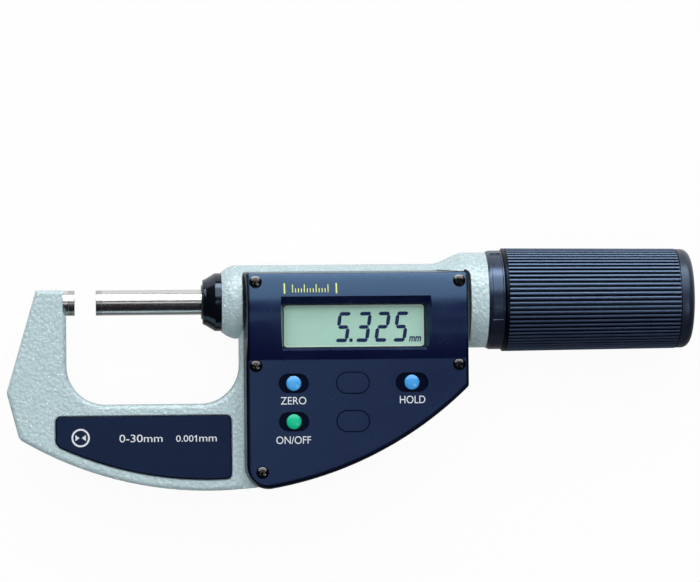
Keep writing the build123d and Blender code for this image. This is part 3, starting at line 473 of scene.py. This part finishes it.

# Display glass: pale green, with a painted highlight just inside the window's lower and right edges,
# strongest towards the lower right, and a dark rim outside it. The spans in mm are measured from where the
# window's rounded corners begin
WINDOW = {"X": (52.0, 87.9), "Y": (-12.0, -0.85)}
CORNER_INSET = 1.1
EDGE_HIGHLIGHT, DARK_RIM = (0.38 * MM, 0.52 * MM), (0.70 * MM, 0.80 * MM)
glass, wire, shader, place = new_material("display_green")
group = wire.group(moulded_grain, {"Place": place})
axes = wire.axes(place)
sides = []
for axis, (low, high) in WINDOW.items():
    off_middle = wire.math("ABSOLUTE", wire.math("SUBTRACT", axes[axis], (low + high) / 2 * MM))
    inset = ((high - low) / 2 - CORNER_INSET) * MM
    sides.append(wire.math("MAXIMUM", wire.math("SUBTRACT", off_middle, inset), 0.0))
past_inset = wire.length(*sides)
tint = wire.mix(group["Cloud"], (0.44, 0.73, 0.61), (0.47, 0.76, 0.64))
low_right = wire.math("SUBTRACT", wire.math("MULTIPLY", axes["X"], 0.3), axes["Y"])
lit = wire.span(low_right, 20.0 * MM, 28.0 * MM, 0.25, 1.0)
# painted highlight just inside the window's lower and right edges, strongest at the lower right
line = wire.math("MULTIPLY", wire.span(past_inset, *EDGE_HIGHLIGHT, 0.0, 1.0), lit)
highlighted = wire.mix(line, tint, (0.70, 0.90, 0.78))
rim = wire.span(past_inset, *DARK_RIM, 0.0, 1.0)
wire.join(wire.mix(rim, highlighted, (0.012, 0.03, 0.04)), shader["Base Color"])
wire.join(group["Roughness"], shader["Roughness"])
shader["Specular IOR Level"].default_value = 0.2
finishes["display_glass"] = glass

for name, solid in nodes.items():
    solid.data.materials.clear()
    solid.data.materials.append(finishes[slot_of[name]])


def put(name, mesh, body, material, stands_for=()):
    """Piece made from a mesh: linked, painted, riding its body and standing for CAD nodes."""
    mesh.name = name
    if material:
        mesh.materials.clear()
        mesh.materials.append(material)
    piece = bpy.data.objects.new(name, mesh)
    bpy.context.scene.collection.objects.link(piece)
    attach(piece, body)
    if stands_for:
        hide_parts(*stands_for)
    return piece


def smooth(mesh, angle=30.0):
    """Shade a mesh smooth, apart from edges sharper than an angle."""
    mesh.polygons.foreach_set("use_smooth", [True] * len(mesh.polygons))
    mesh.set_sharp_from_angle(angle=radians(angle))
    mesh.update()


def plain_mesh(piece):
    """Mesh of an object with its modifiers applied."""
    made = bpy.data.meshes.new_from_object(piece.evaluated_get(bpy.context.evaluated_depsgraph_get()))
    bpy.data.objects.remove(piece)
    return made


def mesh_of(shape, outward=True):
    """Mesh made from a bmesh, with its faces turned outward unless they're already right."""
    if outward:
        bmesh.ops.recalc_face_normals(shape, faces=shape.faces)
    mesh = bpy.data.meshes.new("made")
    shape.to_mesh(mesh)
    shape.free()
    return mesh


def stand_in(name, node, mesh, painted=False):
    """Piece for a CAD node: on its body and, unless it is painted already, in the finish of its slot."""
    slot = slot_of[node]
    material = None if painted else finishes[slot]
    return put(name, mesh, body_of(nodes[node])[0], material, (node,))


# CAD triangles are joined where points are this close and faces this flat
WELD, FLAT = 0.0005 * MM, radians(0.3)


def finished(node, bevel=0.0, angle=30.0):
    """Finished copy of a CAD node: triangles joined up, edges eased by bevel mm and round faces smooth."""
    joined = bmesh.new()
    joined.from_mesh(nodes[node].data)
    bmesh.ops.remove_doubles(joined, verts=joined.verts, dist=WELD)
    bmesh.ops.dissolve_limit(joined, angle_limit=FLAT, verts=joined.verts, edges=joined.edges)
    joined.normal_update()
    for face in joined.faces:
        face.smooth = True
    for edge in joined.edges:
        edge.smooth = edge.calc_face_angle(pi) < radians(angle)
    draft = bpy.data.objects.new("draft", mesh_of(joined, outward=False))
    bpy.context.scene.collection.objects.link(draft)
    if bevel:
        eased = draft.modifiers.new("eased edges", "BEVEL")
        eased.width = bevel * MM
        eased.segments = 2
        eased.angle_limit = radians(angle + 5.0)
        eased.harden_normals = False
    even = draft.modifiers.new("even shading", "WEIGHTED_NORMAL")
    even.keep_sharp = True
    even.weight = 80
    return stand_in(f"{node}_finished", node, plain_mesh(draft))


CORNER_STEPS = 4


def rounded(profile):
    """Points of a closed (x, radius) profile in mm; a point's third value rounds its corner."""
    points = []
    count = len(profile)
    for index, point in enumerate(profile):
        here = Vector(point[:2])
        if len(point) < 3:
            points.append(here)
            continue
        before = Vector(profile[index - 1][:2]) - here
        after = Vector(profile[(index + 1) % count][:2]) - here
        half = before.angle(after) / 2
        run = point[2] / tan(half)
        start = here + before.normalized() * run
        end = here + after.normalized() * run
        centre = here + (before.normalized() + after.normalized()).normalized() * point[2] / sin(half)
        for step in range(CORNER_STEPS + 1):
            share = step / CORNER_STEPS
            aim = (start - centre) * (1 - share) + (end - centre) * share
            points.append(centre + aim.normalized() * point[2])
    return points


def lathe_mesh(profile, steps=128, angle=30.0):
    """Closed mesh turned about X from a profile, whose ends may lie on the axis."""
    shape = bmesh.new()
    rings = []
    for x, radius in rounded(profile):
        if radius < 1e-6:
            rings.append([shape.verts.new((x * MM, 0.0, 0.0))])
            continue
        ring = []
        for step in range(steps):
            turn = 2 * pi * step / steps
            ring.append(shape.verts.new((x * MM, radius * cos(turn) * MM, radius * sin(turn) * MM)))
        rings.append(ring)
    closed = len(rings[0]) > 1
    for index in range(len(rings) if closed else len(rings) - 1):
        first, second = rings[index], rings[(index + 1) % len(rings)]
        if len(first) == 1 and len(second) == 1:
            continue
        for step in range(steps):
            after = (step + 1) % steps
            walk = ((first, step), (first, after), (second, after), (second, step))
            corners = dict.fromkeys(ring[spot % len(ring)] for ring, spot in walk)
            shape.faces.new(list(corners))
    mesh = mesh_of(shape)
    smooth(mesh, angle)
    return mesh


def turned(name, node, profile, steps=128):
    """Smooth turned piece that stands for a CAD node."""
    return stand_in(name, node, lathe_mesh(profile, steps))


def shaped(draft_mesh, tree, inputs):
    """Plain mesh from a geometry tree run on a draft mesh with named inputs."""
    draft = bpy.data.objects.new("draft", draft_mesh)
    bpy.context.scene.collection.objects.link(draft)
    layer = draft.modifiers.new("shape", "NODES")
    layer.node_group = tree
    for item in tree.interface.items_tree:
        if item.item_type == "SOCKET" and item.in_out == "INPUT" and item.name in inputs:
            layer[item.identifier] = inputs[item.name]
    return plain_mesh(draft)


# Ribbed sleeve: one rounded rib, repeated round the X axis on the sleeve that is given
ribbed_sleeve, wire, given, out = node_group(
    "ribbed_sleeve", "GeometryNodeTree",
    [("Sleeve", GEOMETRY, None), ("Ribs", COUNT, 68), ("Front", FLOAT, 0.0), ("Length", FLOAT, 0.04),
     ("Front radius", FLOAT, 0.013), ("Rear radius", FLOAT, 0.0127), ("Rib height", FLOAT, 0.0006),
     ("Crest width", FLOAT, 0.0006), ("Foot width", FLOAT, 0.0009), ("Rounding", FLOAT, 0.0001),
     ("Finish", PAINT, None)],
    [("Grip", GEOMETRY)],
)
size = wire.point(X=given["Length"], Y=given["Foot width"], Z=given["Rib height"])
bar = wire.add(
    "GeometryNodeMeshCube", {"Size": size, "Vertices X": 2, "Vertices Y": 7, "Vertices Z": 3},
).outputs["Mesh"]
axes = wire.axes(wire.add("GeometryNodeInputPosition").outputs[0])
along = wire.math("ADD", wire.math("DIVIDE", axes["X"], given["Length"]), 0.5)
up = wire.math("ADD", wire.math("DIVIDE", axes["Z"], given["Rib height"]), 0.5)
narrowing = wire.math("DIVIDE", given["Crest width"], given["Foot width"])
width = wire.math("ADD", 1.0, wire.math("MULTIPLY", up, wire.math("SUBTRACT", narrowing, 1.0)))
across = wire.math("DIVIDE", wire.math("MULTIPLY", axes["Y"], 2.0), given["Foot width"])
sag = wire.math("MULTIPLY", wire.math("POWER", wire.math("ABSOLUTE", across), 3.0), given["Rounding"])
crest = wire.span(along, 0.0, 1.0, given["Front radius"], given["Rear radius"])
depth = wire.math("MULTIPLY", wire.math("SUBTRACT", 1.0, up), given["Rib height"])
high = wire.math("SUBTRACT", wire.math("SUBTRACT", crest, depth), wire.math("MULTIPLY", sag, up))
place = wire.point(
    X=wire.math("MULTIPLY_ADD", along, given["Length"], given["Front"]),
    Y=wire.math("MULTIPLY", axes["Y"], width),
    Z=high,
)
rib = wire.add("GeometryNodeSetPosition", {"Geometry": bar, "Position": place}).outputs[0]
starts = wire.add("GeometryNodeMeshLine", {"Count": given["Ribs"], "Offset": (0.0, 0.0, 0.0)}).outputs[0]
share = wire.math("DIVIDE", wire.add("GeometryNodeInputIndex").outputs[0], given["Ribs"])
turn = wire.point(X=wire.math("MULTIPLY", share, 2 * pi))
ribs = wire.add("GeometryNodeInstanceOnPoints", {"Points": starts, "Instance": rib, "Rotation": turn})
both = wire.add("GeometryNodeJoinGeometry")
wire.join(given["Sleeve"], both.inputs[0])
real_ribs = wire.add("GeometryNodeRealizeInstances", {"Geometry": ribs.outputs[0]})
wire.join(real_ribs.outputs[0], both.inputs[0])
painted = wire.add("GeometryNodeSetMaterial", {"Geometry": both.outputs[0], "Material": given["Finish"]})
wire.join(painted.outputs[0], out["Grip"])

# Cross-head screw: domed head with a cross recess and a shank, set on each point that is given
cross_screws, wire, given, out = node_group(
    "cross_screws", "GeometryNodeTree",
    [("Seats", GEOMETRY, None), ("Head radius", FLOAT, 0.00145), ("Head height", FLOAT, 0.0009),
     ("Crown", FLOAT, 0.0003), ("Cross length", FLOAT, 0.0017), ("Cross width", FLOAT, 0.0004),
     ("Cross depth", FLOAT, 0.0005), ("Shank radius", FLOAT, 0.001), ("Shank end", FLOAT, 0.0),
     ("Facing", VECTOR, None), ("Cross turn", FLOAT, 0.5), ("Finish", PAINT, None)],
    [("Screws", GEOMETRY)],
)
head = wire.add(
    "GeometryNodeMeshCylinder",
    {"Vertices": 48, "Side Segments": 1, "Fill Segments": 6,
     "Radius": given["Head radius"], "Depth": given["Head height"]},
).outputs["Mesh"]
spot = wire.add("GeometryNodeInputPosition").outputs[0]
axes = wire.axes(spot)
squares = [wire.math("POWER", axes[axis], 2.0) for axis in "XY"]
reach = wire.math("SQRT", wire.math("ADD", *squares))
outward = wire.math("DIVIDE", reach, given["Head radius"])
sag = wire.math("MULTIPLY", wire.math("POWER", outward, 3.0), given["Crown"])
lowered = wire.math("MULTIPLY", sag, wire.math("GREATER_THAN", axes["Z"], 0.0))
half = wire.math("MULTIPLY", given["Head height"], 0.5)
drop = wire.point(Z=wire.math("SUBTRACT", half, lowered))
head = wire.add("GeometryNodeSetPosition", {"Geometry": head, "Offset": drop}).outputs[0]
deep = wire.math("MULTIPLY", given["Cross depth"], 2.0)
bar_size = wire.point(X=given["Cross length"], Y=given["Cross width"], Z=deep)
bar = wire.add("GeometryNodeMeshCube", {"Size": bar_size}).outputs["Mesh"]
top = wire.point(Z=given["Head height"])
for quarter in (0.0, pi / 2):
    angle = wire.point(Z=wire.math("ADD", given["Cross turn"], quarter))
    cutter = wire.add("GeometryNodeTransform", {"Geometry": bar, "Translation": top, "Rotation": angle})
    cut = wire.add("GeometryNodeMeshBoolean", {"Mesh 1": head}, operation="DIFFERENCE")
    wire.join(cutter.outputs[0], cut.inputs["Mesh 2"])
    head = cut.outputs["Mesh"]
heads = wire.add(
    "GeometryNodeInstanceOnPoints",
    {"Points": given["Seats"], "Instance": head, "Rotation": given["Facing"]},
).outputs[0]
stem = wire.add(
    "GeometryNodeMeshCylinder", {"Vertices": 24, "Radius": given["Shank radius"], "Depth": 1.0},
).outputs["Mesh"]
stem = wire.add("GeometryNodeTransform", {"Geometry": stem, "Translation": (0.0, 0.0, 0.5)}).outputs[0]
long = wire.point(X=1.0, Y=1.0, Z=wire.math("SUBTRACT", given["Shank end"], axes["Z"]))
stems = wire.add(
    "GeometryNodeInstanceOnPoints", {"Points": given["Seats"], "Instance": stem, "Scale": long},
).outputs[0]
both = wire.add("GeometryNodeJoinGeometry")
for part in (heads, stems):
    wire.join(part, both.inputs[0])
whole = wire.add("GeometryNodeRealizeInstances", {"Geometry": both.outputs[0]}).outputs[0]
painted = wire.add("GeometryNodeSetMaterial", {"Geometry": whole, "Material": given["Finish"]})
wire.join(painted.outputs[0], out["Screws"])

# Casting, plates, housing and the pieces set in them
for node, bevel in (
    ("frame", 0.0), ("front_plate", 0.0), ("rear_plate", 0.0), ("display_housing", 0.0),
    ("sleeve_ring", 0.08), ("anvil", 0.08), ("anvil_tip", 0.06), ("spindle", 0.0), ("spindle_tip", 0.06),
    ("battery_cap", 0.1), ("battery_seal", 0.1), ("output_cover", 0.15), ("window_lens", 0.05),
):
    finished(node, bevel)

# The flare closes on the top side of the housing, which leans away from it: the points on its cut
# edge keep their distance from the X axis and move onto that side
CUT_Y, CUT_SLACK, CUT_FLOOR = 7.7, 0.02, 5.52
SIDE_Y, SIDE_Z, SIDE_LEAN = 7.48, 5.9, radians(6.0)
for vertex in bpy.data.objects["frame_finished"].data.vertices:
    y, z = vertex.co.y / MM, vertex.co.z / MM
    if abs(y - CUT_Y) < CUT_SLACK and z > CUT_FLOOR:
        squared = y * y + z * z
        y = SIDE_Y - (z - SIDE_Z) * tan(SIDE_LEAN)
        vertex.co.y, vertex.co.z = y * MM, sqrt(squared - y * y) * MM

# Nut and wiper on the nose
turned("nut_turned", "spindle_nut", [
    (32.25, 4.525), (32.25, 5.6, 0.12), (33.05, 5.95, 0.15), (35.35, 7.35, 0.2), (37.35, 7.35, 0.15),
    (37.35, 4.4), (41.0, 4.4), (41.0, 3.275), (33.8, 3.275), (33.8, 4.525),
])
turned("wiper_turned", "spindle_wiper", [
    (31.9, 3.225, 0.1), (31.9, 4.175, 0.15), (32.25, 4.525), (33.8, 4.525), (33.8, 3.225),
])

# Thimble: collar and sleeve with ribs, and the domed cap
GRIP_FRONT, GRIP_REAR, CAP_END = 108.1, 152.55, 156.81
COLLAR_REAR, RIB_START = GRIP_FRONT + 0.75, GRIP_FRONT + 1.0
collar = lathe_mesh([
    (GRIP_FRONT, 11.4), (GRIP_FRONT, 12.8, 0.08), (GRIP_FRONT + 0.3, 13.1, 0.1),
    (COLLAR_REAR, 13.1, 0.06), (COLLAR_REAR, 12.75), (RIB_START, 12.75), (RIB_START, 12.54),
    (GRIP_REAR, 12.15), (GRIP_REAR, 11.4),
])
grip = shaped(collar, ribbed_sleeve, {
    "Ribs": 68, "Front": RIB_START * MM, "Length": (GRIP_REAR - RIB_START) * MM,
    "Front radius": 13.091 * MM, "Rear radius": 12.7 * MM, "Rib height": 0.65 * MM,
    "Crest width": 0.56 * MM, "Foot width": 0.88 * MM, "Rounding": 0.09 * MM,
    "Finish": finishes["grip_plastic"],
})
smooth(grip, 35.0)
stand_in("ribbed_grip", "thimble_grip", grip, painted=True)
ROUND_X, ROUND_RADIUS, ROUND = CAP_END - 2.7, 10.4, 2.2
shoulder = [
    (ROUND_X + ROUND * cos(turn), ROUND_RADIUS + ROUND * sin(turn)) for turn in (0.3, 0.6, 0.9, 1.2, 1.4)
]
turned("end_cap_turned", "end_cap", [
    (CAP_END, 0.0), (CAP_END, 4.0), (CAP_END - 0.5, 10.4), *shoulder,
    (ROUND_X, 12.6), (GRIP_REAR + 0.25, 12.6, 0.06), (GRIP_REAR + 0.25, 12.05),
    (GRIP_REAR, 12.05), (GRIP_REAR, 10.38), (GRIP_REAR - 4.5, 10.38), (GRIP_REAR - 4.5, 8.58),
    (GRIP_REAR + 1.05, 8.58), (GRIP_REAR + 1.05, 0.0),
], 160)


# Buttons, turned about their own upright axes
def upright(mesh, x, y):
    """Turn a mesh made about X so that it stands on Z at x, y."""
    mesh.transform(Matrix.Translation((x * MM, y * MM, 0.0)) @ Matrix.Rotation(-pi / 2, 4, "Y"))
    return mesh


BUTTON = [
    (8.35, 0.0), (8.35, 1.0), (8.7, 1.0), (8.7, 2.6), (9.4, 2.6), (9.4, 1.85), (11.1, 1.85, 0.12),
    (11.3, 1.45), (11.45, 0.9), (11.55, 0.0),
]
for node, x, y in (
    ("zero_button", 54.6, -20.7), ("on_off_button", 54.6, -30.3), ("hold_button", 84.3, -20.7),
):
    stand_in(f"{node}_key", node, upright(lathe_mesh(BUTTON, 64, 40.0), x, y))


# Screws: five in the housing, two in the cover on the back. Seats are the heights of the heads' feet
def seats(*points):
    """Mesh of loose points in mm."""
    mesh = bpy.data.meshes.new("seats")
    mesh.from_pydata([tuple(value * MM for value in point) for point in points], [], [])
    return mesh


CROWN_SEAT, PANEL_SEAT, COVER_SEAT = 12.1, 10.35, -5.25
housing_seats = seats(
    (45.2, 4.65, CROWN_SEAT), (96.3, 4.65, CROWN_SEAT),
    (45.2, -16.3, PANEL_SEAT), (96.3, -16.3, PANEL_SEAT), (46.6, -43.0, PANEL_SEAT),
)
cover_seats = seats((82.0, -17.9, COVER_SEAT), (93.0, -17.9, COVER_SEAT))
for node, points, tilt, sizes in (
    ("housing_screws", housing_seats, 0.0, {
        "Shank end": 3.5, "Head radius": 1.57, "Crown": 0.5, "Cross width": 0.42,
    }),
    ("cover_screws", cover_seats, pi, {
        "Shank end": -1.5, "Shank radius": 0.8, "Head radius": 1.3, "Head height": 0.7,
        "Cross width": 0.36,
    }),
):
    values = {label: value * MM for label, value in sizes.items()}
    values.update({"Cross turn": 0.6, "Facing": (tilt, 0.0, 0.0), "Finish": finishes[slot_of[node]]})
    screws = shaped(points, cross_screws, values)
    smooth(screws, 32.0)
    stand_in(f"{node}_made", node, screws, painted=True)

# Printing lies this far above and below its surface, in mm
INK = 0.01


def words(text, left, right, low, high, z, slant=0.0, bold=0.0):
    """Mesh of printed text fitted to a box in mm, lying at height z."""
    curve = bpy.data.curves.new("words", "FONT")
    curve.body = text
    curve.extrude = INK
    curve.shear = slant
    curve.offset = bold
    draft = bpy.data.objects.new("words", curve)
    bpy.context.scene.collection.objects.link(draft)
    mesh = plain_mesh(draft)
    xs, ys = ([vertex.co[axis] for vertex in mesh.vertices] for axis in (0, 1))
    first_x, first_y = min(xs), min(ys)
    wide = (right - left) / (max(xs) - first_x)
    tall = (high - low) / (max(ys) - first_y)
    for vertex in mesh.vertices:
        x, y = left + (vertex.co.x - first_x) * wide, low + (vertex.co.y - first_y) * tall
        vertex.co = Vector((x, y, z + vertex.co.z)) * MM
    return mesh


def prism(outline, low, high):
    """Closed mesh raised from a flat outline of (x, y) points in mm."""
    count = len(outline)
    points = [(x * MM, y * MM, z * MM) for z in (low, high) for x, y in outline]
    sides = [(i, (i + 1) % count, (i + 1) % count + count, i + count) for i in range(count)]
    mesh = bpy.data.meshes.new("prism")
    ends = [tuple(range(count - 1, -1, -1)), tuple(range(count, 2 * count))]
    mesh.from_pydata(points, [], sides + ends)
    return mesh


def printed(outline, surface):
    """Printed shape with a flat outline, on a surface at this height."""
    return prism(outline, surface - INK, surface + INK)


def box_shape(left, right, low, high, floor, top):
    """Closed box."""
    return prism([(left, low), (right, low), (right, high), (left, high)], floor, top)


def gathered(meshes):
    """One mesh from several."""
    whole = bmesh.new()
    for mesh in meshes:
        whole.from_mesh(mesh)
        bpy.data.meshes.remove(mesh)
    return mesh_of(whole, outward=False)


# Reading on the display: seven-bar numerals that lean to the right
GLASS_TOP, BAR_TOP, LOW_LINE, LEAN = 9.625, 9.655, -10.45, 0.145
BARS = {
    "top": ((0.14, 7.05), (3.06, 7.05)), "middle": ((0.30, 3.72), (2.90, 3.72)),
    "low": ((0.14, 0.40), (3.06, 0.40)),
    "left high": ((0.40, 3.95), (0.40, 6.85)), "right high": ((2.80, 3.95), (2.80, 6.85)),
    "left low": ((0.40, 0.60), (0.40, 3.50)), "right low": ((2.80, 0.60), (2.80, 3.50)),
}
NUMERALS = {
    "2": ("top", "right high", "middle", "left low", "low"),
    "3": ("top", "right high", "middle", "right low", "low"),
    "5": ("top", "left high", "middle", "right low", "low"),
}


def bar_outline(start, end, half=0.46):
    """Six-cornered bar between two points, pointed at both ends."""
    (x0, y0), (x1, y1) = start, end
    if y0 == y1:
        return [
            (x0, y0), (x0 + half, y0 - half), (x1 - half, y0 - half),
            (x1, y0), (x1 - half, y0 + half), (x0 + half, y0 + half),
        ]
    return [
        (x0, y0), (x0 + half, y0 + half), (x0 + half, y1 - half),
        (x0, y1), (x0 - half, y1 - half), (x0 - half, y0 + half),
    ]


reading = []
for numeral, left in (("5", 65.12), ("3", 70.25), ("2", 75.0), ("5", 79.64)):
    for bar in NUMERALS[numeral]:
        outline = [(left + x + LEAN * y, LOW_LINE + y) for x, y in bar_outline(*BARS[bar])]
        reading.append(prism(outline, GLASS_TOP, BAR_TOP))
reading.append(box_shape(68.75, 69.55, LOW_LINE, LOW_LINE + 0.85, GLASS_TOP, BAR_TOP))
reading.append(words("mm", 83.75, 86.85, -10.5, -9.15, GLASS_TOP + 0.015, 0.2, 0.03))
put("reading_bars", gathered(reading), "frame", segment_ink)

# Lettering on the flat panel and the plate
PANEL, PLATE = 11.0, 5.3
panel_words = [
    words("ZERO", 51.3, 57.7, -26.0, -24.1, PANEL),
    words("ON/OFF", 50.1, 58.8, -35.85, -33.95, PANEL),
    words("HOLD", 81.2, 87.6, -26.0, -24.1, PANEL),
]
put("panel_lettering", gathered(panel_words), "frame", white_ink)
FIGURE_ONE = [
    (30.15, -35.1), (30.43, -35.1), (30.43, -33.5), (30.2, -33.5), (29.8, -33.85), (29.8, -34.05),
    (30.15, -33.9),
]
plate_words = [
    words("0-30mm", 11.0, 21.8, -35.1, -33.2, PLATE),
    words("0.00", 25.2, 29.55, -35.1, -33.5, PLATE),
    printed(FIGURE_ONE, PLATE),
    words("mm", 31.0, 35.4, -35.1, -33.9, PLATE),
]


def walled(shape, first, second):
    """Close the gap between two loops of as many points with faces."""
    count = len(first)
    for i in range(count):
        after = (i + 1) % count
        shape.faces.new((first[i], first[after], second[after], second[i]))


def ring_shape(x, y, outer, inner, floor, top, steps=48):
    """Flat ring on its centre."""
    shape = bmesh.new()
    loops = []
    for radius, z in ((outer, floor), (outer, top), (inner, top), (inner, floor)):
        loop = []
        for i in range(steps):
            turn = 2 * pi * i / steps
            spot = (x + radius * cos(turn), y + radius * sin(turn), z)
            loop.append(shape.verts.new([value * MM for value in spot]))
        loops.append(loop)
    for first, second in zip(loops, loops[1:] + loops[:1]):
        walled(shape, first, second)
    return mesh_of(shape)


# Sign on the plate: two jaws that face each other inside a ring
x, y = 1.3, -33.9
sign = [ring_shape(x, y, 2.3, 1.85, PLATE - INK, PLATE + INK)]
for side in (-1, 1):
    jaw = [(x + 1.3 * side, y + 0.75 * side), (x + 0.25 * side, y), (x + 1.3 * side, y - 0.75 * side)]
    sign.append(printed(jaw, PLATE))
put("plate_lettering", gathered(plate_words + sign), "frame", white_ink)

# The housing's arched top, in mm: its half width, rise, highest point and that point's place on Y
ARCH_HALF, ARCH_RISE, ARCH_TOP, ARCH_Y = 11.1, 3.0, 14.0, -3.7


def arch_height(y):
    """Height of the arched top at y, in mm."""
    radius = (ARCH_HALF ** 2 + ARCH_RISE ** 2) / (2 * ARCH_RISE)
    return ARCH_TOP - radius + sqrt(radius ** 2 - (y - ARCH_Y) ** 2)


def arched_bar(left, right, low, high, above=0.03, below=0.05, steps=6):
    """Thin printed bar that follows the arch and stands a little above it."""
    shape = bmesh.new()
    rows = []
    for i in range(steps + 1):
        y = low + (high - low) * i / steps
        z = arch_height(y)
        row = ((left, z + above), (right, z + above), (right, z - below), (left, z - below))
        rows.append([shape.verts.new((x * MM, y * MM, height * MM)) for x, height in row])
    for first, second in zip(rows, rows[1:]):
        walled(shape, first, second)
    shape.faces.new(rows[0][::-1])
    shape.faces.new(rows[-1])
    return mesh_of(shape)


TICKS, FIRST_TICK, TICK_STEP, HALF_TICK = 13, 54.4, 0.74, 0.11
ticks = [arched_bar(52.2, 52.55, 1.7, 4.3), arched_bar(65.2, 65.55, 1.7, 4.3)]
for index in range(TICKS):
    x = FIRST_TICK + index * TICK_STEP
    ticks.append(arched_bar(x - HALF_TICK, x + HALF_TICK, 2.0, 4.0 if index % 4 == 0 else 3.0))
put("tick_scale", gathered(ticks), "frame", yellow_ink)

# Camera: its place and turns as read from the photo, and the lens in the photo's pixels
CAMERA_PLACE = (0.008, -0.017, 0.860)
CAMERA_TURNS = (("Y", -4.105), ("X", 1.298), ("Z", -0.561))
LENS_PIXELS, PHOTO_PIXELS, SENSOR = 3397.0, 700.0, 36.0
camera = bpy.data.objects.new("camera", bpy.data.cameras.new("camera"))
camera.data.sensor_width = SENSOR
camera.data.lens = LENS_PIXELS / PHOTO_PIXELS * SENSOR
camera.data.clip_start = 0.01
camera.data.clip_end = 20.0
stance = Matrix.Translation(CAMERA_PLACE)
for axis, degrees in CAMERA_TURNS:
    stance = stance @ Matrix.Rotation(radians(degrees), 4, axis)
camera.matrix_world = stance
bpy.context.scene.collection.objects.link(camera)
bpy.context.scene.camera = camera

# Floor under the lowest point. The camera sees it white; in reflections it is darker in front
FLOOR_SIDE, FLOOR_HEIGHT = 4.0, cad_box[0][2]
floor_mesh = bpy.data.meshes.new("floor")
corners = [(x * FLOOR_SIDE, y * FLOOR_SIDE, FLOOR_HEIGHT) for x, y in ((-1, -1), (1, -1), (1, 1), (-1, 1))]
floor_mesh.from_pydata(corners, [], [(0, 1, 2, 3)])
floor = bpy.data.objects.new("floor", floor_mesh)
bpy.context.scene.collection.objects.link(floor)
paper, wire, shader, place = new_material("white_paper")
shader["Base Color"].default_value = (0.88, 0.88, 0.88, 1.0)
shader["Roughness"].default_value = 0.9
path = wire.add("ShaderNodeLightPath").outputs
seen = wire.math("MAXIMUM", path["Is Camera Ray"], path["Is Glossy Ray"])
mirrored = wire.span(wire.axes(place)["Y"], -0.03, 0.02, 0.06, 1.0)
lift = wire.add("ShaderNodeEmission", {"Color": (1.0, 1.0, 1.0, 1.0)})
wire.join(wire.math("MAXIMUM", path["Is Camera Ray"], mirrored), lift.inputs["Strength"])
blend = wire.add("ShaderNodeMixShader", {0: wire.math("MULTIPLY", seen, 0.95), 2: lift.outputs[0]})
wire.join(wire.tree.nodes["Principled BSDF"].outputs[0], blend.inputs[1])
wire.join(blend.outputs[0], wire.tree.nodes["Material Output"].inputs["Surface"])
floor.data.materials.append(paper)

# World: white where the camera sees it, nearly dark as a light and in reflections
world = bpy.data.worlds.new("studio")
bpy.context.scene.world = world
world.use_nodes = True
wire = Wiring(world.node_tree)
path = wire.add("ShaderNodeLightPath").outputs
sky = world.node_tree.nodes["Background"]
dim = wire.mix(path["Is Glossy Ray"], (0.06, 0.06, 0.06), (0.012, 0.012, 0.014))
wire.join(wire.mix(path["Is Camera Ray"], dim, (1.0, 1.0, 1.0)), sky.inputs["Color"])

LAMP_AIM = (0.06, 0.0, 0.0)


def softbox(name, centre, size_x, size_y, level, matt=True, gloss=True):
    """Rectangular lamp that faces the object; level is its brightness against white. It can be left
    out of the light on matt surfaces, or out of reflections."""
    lamp = bpy.data.lights.new(name, "AREA")
    lamp.shape = "RECTANGLE"
    lamp.size = size_x
    lamp.size_y = size_y
    lamp.energy = level * size_x * size_y * pi
    holder = bpy.data.objects.new(name, lamp)
    facing = (Vector(centre) - Vector(LAMP_AIM)).to_track_quat("Z", "Y")
    holder.matrix_world = Matrix.Translation(centre) @ facing.to_matrix().to_4x4()
    holder.visible_camera = False
    holder.visible_diffuse = matt
    holder.visible_glossy = gloss
    bpy.context.scene.collection.objects.link(holder)


softbox("key", (0.06, 0.96, 0.80), 2.6, 1.4, 2.8, matt=False)
softbox("rim", (0.06, 1.5, 0.62), 2.6, 0.5, 5.5, matt=False)
softbox("overhead", (-0.03, -0.04, 1.5), 0.22, 0.50, 1.3, matt=False)
softbox("grip_light", (0.66, -0.50, 1.25), 0.30, 0.50, 6.0, matt=False)
softbox("soft_key", (0.06, 0.95, 0.90), 2.0, 1.2, 2.65, gloss=False)
softbox("soft_top", (0.06, -0.10, 1.4), 1.6, 1.2, 1.1, gloss=False)
softbox("soft_fill", (0.06, -1.3, 0.50), 2.0, 0.8, 0.75, gloss=False)
bpy.context.scene.view_settings.view_transform = "Standard"
